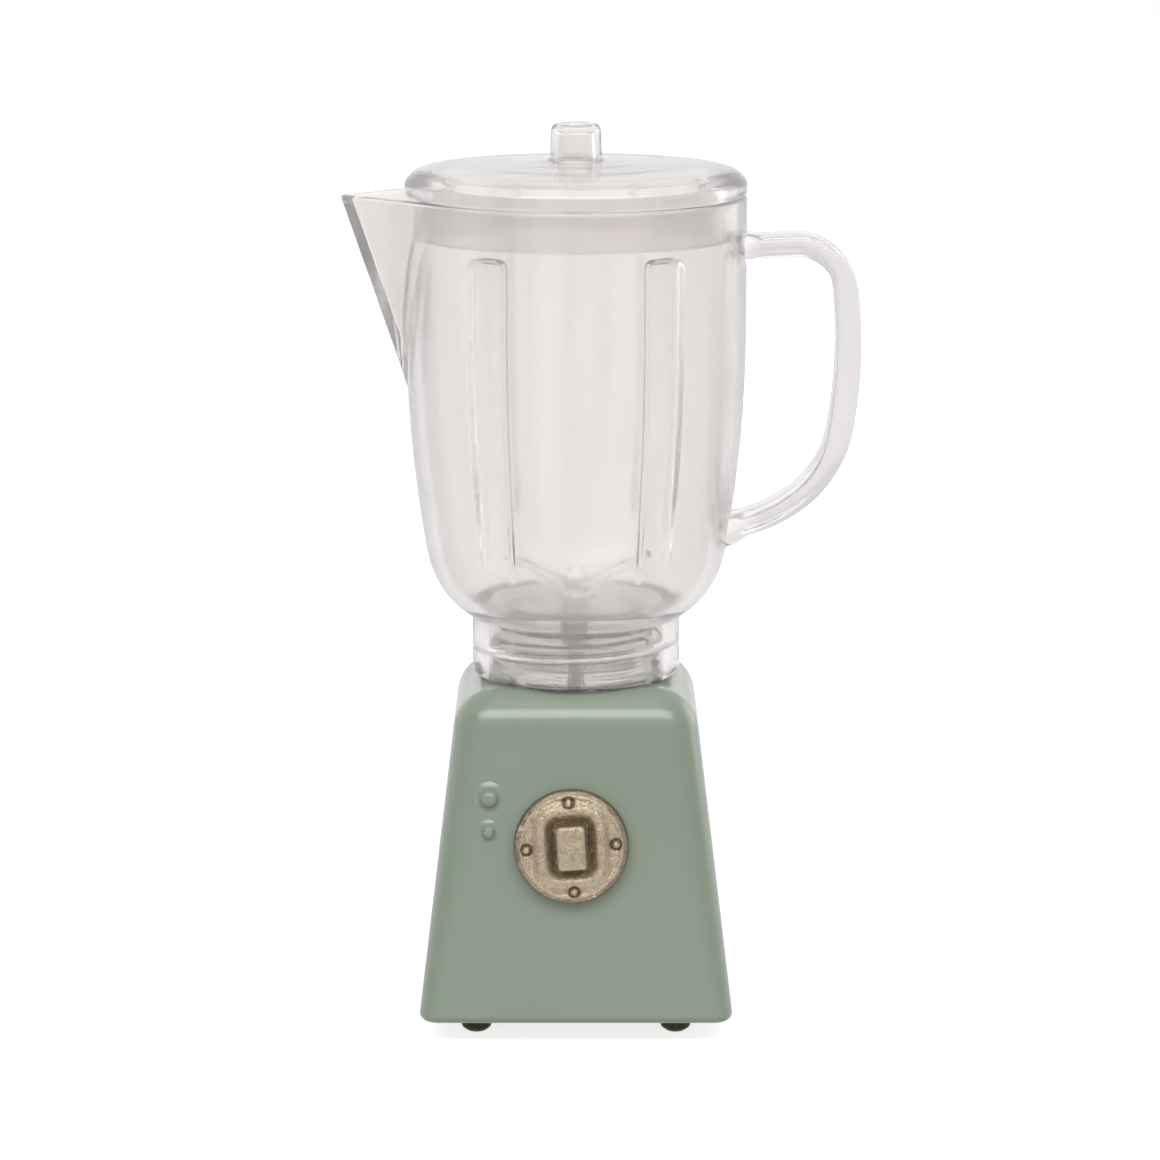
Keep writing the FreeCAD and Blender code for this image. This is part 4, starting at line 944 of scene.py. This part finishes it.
def on_dial(flat):
    """Puts points given as (across, up, out) of the dial's face into the object's frame: turned about the
    dial's axis and leaned back with the housing's front."""
    cosine, sine = math.cos(DIAL_TURN), math.sin(DIAL_TURN)
    across = flat[..., 0] * cosine - flat[..., 1] * sine
    up = flat[..., 1] * cosine + flat[..., 0] * sine
    out = flat[..., 2]
    cosine, sine = math.cos(HOUSING_SLOPE), math.sin(HOUSING_SLOPE)
    return np.stack((across, up * sine - out * cosine, up * cosine + out * sine), axis=-1) + DIAL_MIDDLE


def dial_face(across, up):
    """Height of the dial's face over its plate, and how dark it is painted there: a rolled edge, a broad
    raised frame that falls away softly to a recess round the key, and dome rivets in sunk rings. The darkness
    is tarnish together with painted shade in the recess and the rings, and painted shade on the rolled edge."""
    dial = Millimetres("dial")
    from_axis = np.hypot(across, up)
    inside = -box_distance(across, up, 3.0, 3.7, 1.9)
    rise, line = dial.frame_rise, 4.95
    height = rise * ease(1 + inside) - (rise + 0.25) * ease((inside - 0.25) / 1.2)
    height = height + 0.12 * np.exp(-((from_axis - line) / 0.2) ** 2)
    height = height - 0.35 * ease((from_axis - line) / 0.75) ** 2
    # A faint even tone, then tarnish with painted shade growing deeper into the recess round the key.
    hollow = 0.08 + 0.72 * np.clip((inside - 0.1) / 1.4, 0, 1) ** 1.2
    # Painted shade on the rolled outer edge, which faces away from the light.
    hollow = hollow + 0.6 * ease((from_axis - 5.0) / 0.4)
    count = settings().dial.rivets
    for number in range(count):
        angle = TURN * number / count + math.pi / 2
        away = np.hypot(across - dial.rivet_circle * math.cos(angle),
                        up - dial.rivet_circle * math.sin(angle))
        dome = 0.42 * np.sqrt(np.clip(1 - (away / 0.4) ** 2, 0, 1))
        ring = np.exp(-((away - 0.5) / 0.13) ** 2)
        height = height + dome - 0.14 * ring
        # Tarnish with painted shade in the sunk ring round each rivet.
        hollow = hollow + 0.75 * ring
    return height, np.clip(hollow, 0, 1)


def dial_plate():
    """The dial's casting without its key: the face above on a grid of rings, a round edge, a flat back and
    the stem. Returned with how dark each point is painted: tarnish together with painted shade."""
    dial = Millimetres("dial")
    angles = np.linspace(0, TURN, 361)
    back, front, radius = DIAL_GAP, DIAL_GAP + dial.thickness, dial.radius
    stem, stem_end = 1.5, -1.7
    rings = np.linspace(0, DIAL_FACE, 160)[:, None]
    across, up = rings * np.cos(angles), rings * np.sin(angles)
    height, hollow = dial_face(across, up)
    edge = rounded([(DIAL_FACE, front - 0.012, 0), (radius - 0.1, front - 0.2, 0.3),
                    (radius, front - 0.6, 0.5), (radius, back, 0.1), (stem, back, 0.0),
                    (stem, stem_end, 0.1), (0, stem_end, 0)], 8)
    face = np.stack((across, up, front + height), axis=-1)
    rest = around(angles[None, :], edge[:, :1], edge[:, 1:2])
    # The round edge, the back and the stem are painted darker at 0.6: painted shade on the edge.
    return np.concatenate((face, rest)), np.concatenate((hollow, np.full(rest.shape[:2], 0.6)))


def key_grid():
    """The key: a block with round upright edges, a bevelled, slightly crowned front and straight sides.
    Each ring is the same rounded rectangle drawn in by an amount and lifted by another."""
    dial = Millimetres("dial")
    front, rise = DIAL_GAP + dial.thickness, dial.key_rise
    angles = np.linspace(0, TURN, 97)
    cosine, sine = np.cos(angles), np.sin(angles)
    rows = []
    for drawn_in, up in ((-0.05, -0.6), (-0.02, 0.0), (0.0, rise - 0.4), (0.04, rise - 0.24),
                         (0.12, rise - 0.11), (0.24, rise - 0.03), (0.4, rise), (0.9, rise + 0.01),
                         (1.5, rise + 0.01)):
        corner = max(0.42 - drawn_in * 0.5, 0.02)
        core_a, core_u = (max(size / 2 - drawn_in - corner, 0) for size in (dial.key_width, dial.key_length))
        rows.append(np.stack((np.sign(np.round(cosine, 9)) * core_a + corner * cosine,
                              np.sign(np.round(sine, 9)) * core_u + corner * sine,
                              np.full_like(angles, front + up)), axis=-1))
    return np.stack([rows[0] * (0, 0, 1), *rows, rows[-1] * (0, 0, 1)])


def store_painted_shade_and_tarnish(mesh, values):
    """Stores how dark each vertex is painted as the attribute named hollow, read by the casting: tarnish
    together with painted shade.
    """
    mesh.attributes.new("hollow", "FLOAT", "POINT").data.foreach_set("value", values)


def nearest_values(mesh, points, values):
    """For each vertex of a mesh, the value of the nearest of the points it was made from."""
    tree = KDTree(len(points))
    for number, point in enumerate(points * MM):
        tree.insert(point, number)
    tree.balance()
    return values[[tree.find(v.co)[1] for v in mesh.vertices]].astype(np.float32)


class DOLLBLENDER_OT_dial(bpy.types.Operator):
    """Builds the cast dial with its key, frame and rivets"""
    bl_idname = "dollblender.dial"
    bl_label = "Dial"

    def execute(self, context):
        flat, hollow = dial_plate()
        grid = on_dial(flat)
        plate = surface_mesh("dial_plate", grid)
        store_painted_shade_and_tarnish(plate, nearest_values(plate, grid.reshape(-1, 3), hollow.reshape(-1)))
        key = surface_mesh("dial_key", on_dial(key_grid()))
        store_painted_shade_and_tarnish(key, [0.12] * len(key.vertices))
        put_piece("bronze_dial", joined("dial", [plate, key]), "Cast bronze", "dial",
                  ["dial"], sharp=50)
        return {"FINISHED"}


# ---- stage

def soft_lamp(name, place, aim, size, power, mirrored=False):
    """A soft lamp of a width and a height at a place in metres, aimed at another. It shows in gloss only if
    mirrored."""
    lamp = bpy.data.lights.new(name, "AREA")
    lamp.shape = "RECTANGLE"
    lamp.size, lamp.size_y, lamp.energy = *size, power
    holder = put_object(name, lamp)
    holder.location = place
    holder.visible_glossy = mirrored
    holder.rotation_euler = (Vector(aim) - Vector(place)).to_track_quat("-Z", "Y").to_euler()


def direct_view(tree):
    """A Light Path's outputs, and its mask of rays that come from the camera or through a clear wall."""
    path = tree.nodes.new("ShaderNodeLightPath").outputs
    return path, maths(tree, "MAXIMUM", path["Is Camera Ray"], path["Is Transmission Ray"])


def make_surround(lit_level):
    """The world: white where the camera or a clear wall looks through to it. Reflections show a white sweep
    behind the object and a dimmer room in front of it and above; as light it has an even level."""
    world = bpy.context.scene.world = bpy.data.worlds.new("Studio")
    world.use_nodes = True
    tree = world.node_tree
    path, seen = direct_view(tree)
    place = node(tree, "ShaderNodeTexCoord").outputs["Generated"]
    way = node(tree, "ShaderNodeSeparateXYZ", {0: place}).outputs
    sweep = ranged(tree, way["Y"], -0.1, 0.4, 0.35, 1.0)
    mirrored = maths(tree, "MULTIPLY", sweep, ranged(tree, way["Z"], 0.15, 0.6, 1.0, 0.6))
    extra = maths(tree, "SUBTRACT", mirrored, lit_level)
    rest = maths(tree, "MULTIPLY_ADD", path["Is Glossy Ray"], extra, lit_level)
    strength = maths(tree, "MAXIMUM", seen, rest)
    fill(tree, tree.nodes["Background"], {"Color": (1, 1, 1, 1), "Strength": strength})


class DOLLBLENDER_OT_stage(bpy.types.Operator):
    """Sets up the white floor, the surround, the lamps and the camera"""
    bl_idname = "dollblender.stage"
    bl_label = "Stage"

    def execute(self, context):
        scene = context.scene
        scene.view_settings.view_transform = "Standard"
        make_surround(0.36)

        tree, shader = new_material("White floor")
        path, seen = direct_view(tree)
        seen = maths(tree, "MAXIMUM", seen, maths(tree, "MULTIPLY", path["Is Glossy Ray"], 0.6))
        fill(tree, shader, {
            "Base Color": (0.5, 0.5, 0.5, 1), "Roughness": 0.9, "Specular IOR Level": 0.0,
            "Emission Color": (1, 1, 1, 1), "Emission Strength": maths(tree, "MULTIPLY", seen, 0.8)})
        mesh = bpy.data.meshes.new("floor")
        reach = 4.0
        mesh.from_pydata([(-reach, -reach, 0), (reach, -reach, 0), (reach, reach, 0), (-reach, reach, 0)],
                         [], [(0, 1, 2, 3)])
        paint(mesh, "White floor")
        floor = put_object("floor", mesh)

        soft_lamp("key_lamp", (-0.46, -0.66, 0.42), (0, 0, 0.04), (0.45, 0.6), 1.0)
        soft_lamp("fill_lamp", (0.5, -0.62, 0.3), (0, 0, 0.04), (0.4, 0.6), 0.5)
        soft_lamp("top_lamp", (0.0, -0.42, 0.60), (0, 0, 0.035), (1.2, 0.3), 4.6, mirrored=True)
        soft_lamp("back_lamp", (-0.2, 0.75, 0.45), (0, 0, 0.03), (0.8, 0.5), 0.9)
        soft_lamp("side_lamp", (0.5, 0.3, 0.1), (0, 0, 0.03), (0.35, 0.5), 0.6, mirrored=True)

        camera = bpy.data.cameras.new("camera")
        camera.lens, camera.sensor_width = 138.5, 36.0
        camera.clip_start, camera.clip_end = 0.01, 20.0
        holder = put_object("camera", camera)
        holder.location = (0.0004, -0.440, 0.130)
        holder.rotation_euler = (math.radians(90 - 11.07), 0, 0)
        scene.camera = holder
        return {"FINISHED"}


# ---- panel and start

class DOLLBLENDER_PT_panel(bpy.types.Panel):
    """Sizes, colours and the operators of the doll's house blender"""
    bl_idname = "DOLLBLENDER_PT_panel"
    bl_label = "Doll's Blender"
    bl_space_type = "VIEW_3D"
    bl_region_type = "UI"
    bl_category = "Doll's Blender"

    def draw(self, context):
        layout = self.layout
        for part, group in GROUPS.items():
            box = layout.box()
            box.label(text=part.capitalize())
            for prop in group.__annotations__:
                box.prop(getattr(settings(), part), prop)
        for operator in OPERATORS:
            layout.operator(operator.bl_idname)


OPERATORS = (DOLLBLENDER_OT_stage, DOLLBLENDER_OT_housing, DOLLBLENDER_OT_feet, DOLLBLENDER_OT_screws,
             DOLLBLENDER_OT_boss, DOLLBLENDER_OT_blade, DOLLBLENDER_OT_dial, DOLLBLENDER_OT_jug,
             DOLLBLENDER_OT_lid)
CLASSES = (*GROUPS.values(), BlenderSettings, *OPERATORS, DOLLBLENDER_PT_panel)


def register():
    """Registers the classes and puts the settings on the scene."""
    for each in CLASSES:
        bpy.utils.register_class(each)
    bpy.types.Scene.dolls_blender = PointerProperty(type=BlenderSettings)


def unregister():
    """Takes the settings and the classes away again."""
    del bpy.types.Scene.dolls_blender
    for each in reversed(CLASSES):
        bpy.utils.unregister_class(each)


def main():
    """Registers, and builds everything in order."""
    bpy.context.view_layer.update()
    register()
    make_materials()
    for operator in OPERATORS:
        group, name = operator.bl_idname.split(".")
        getattr(getattr(bpy.ops, group), name)()


if __name__ == "__main__":
    main()
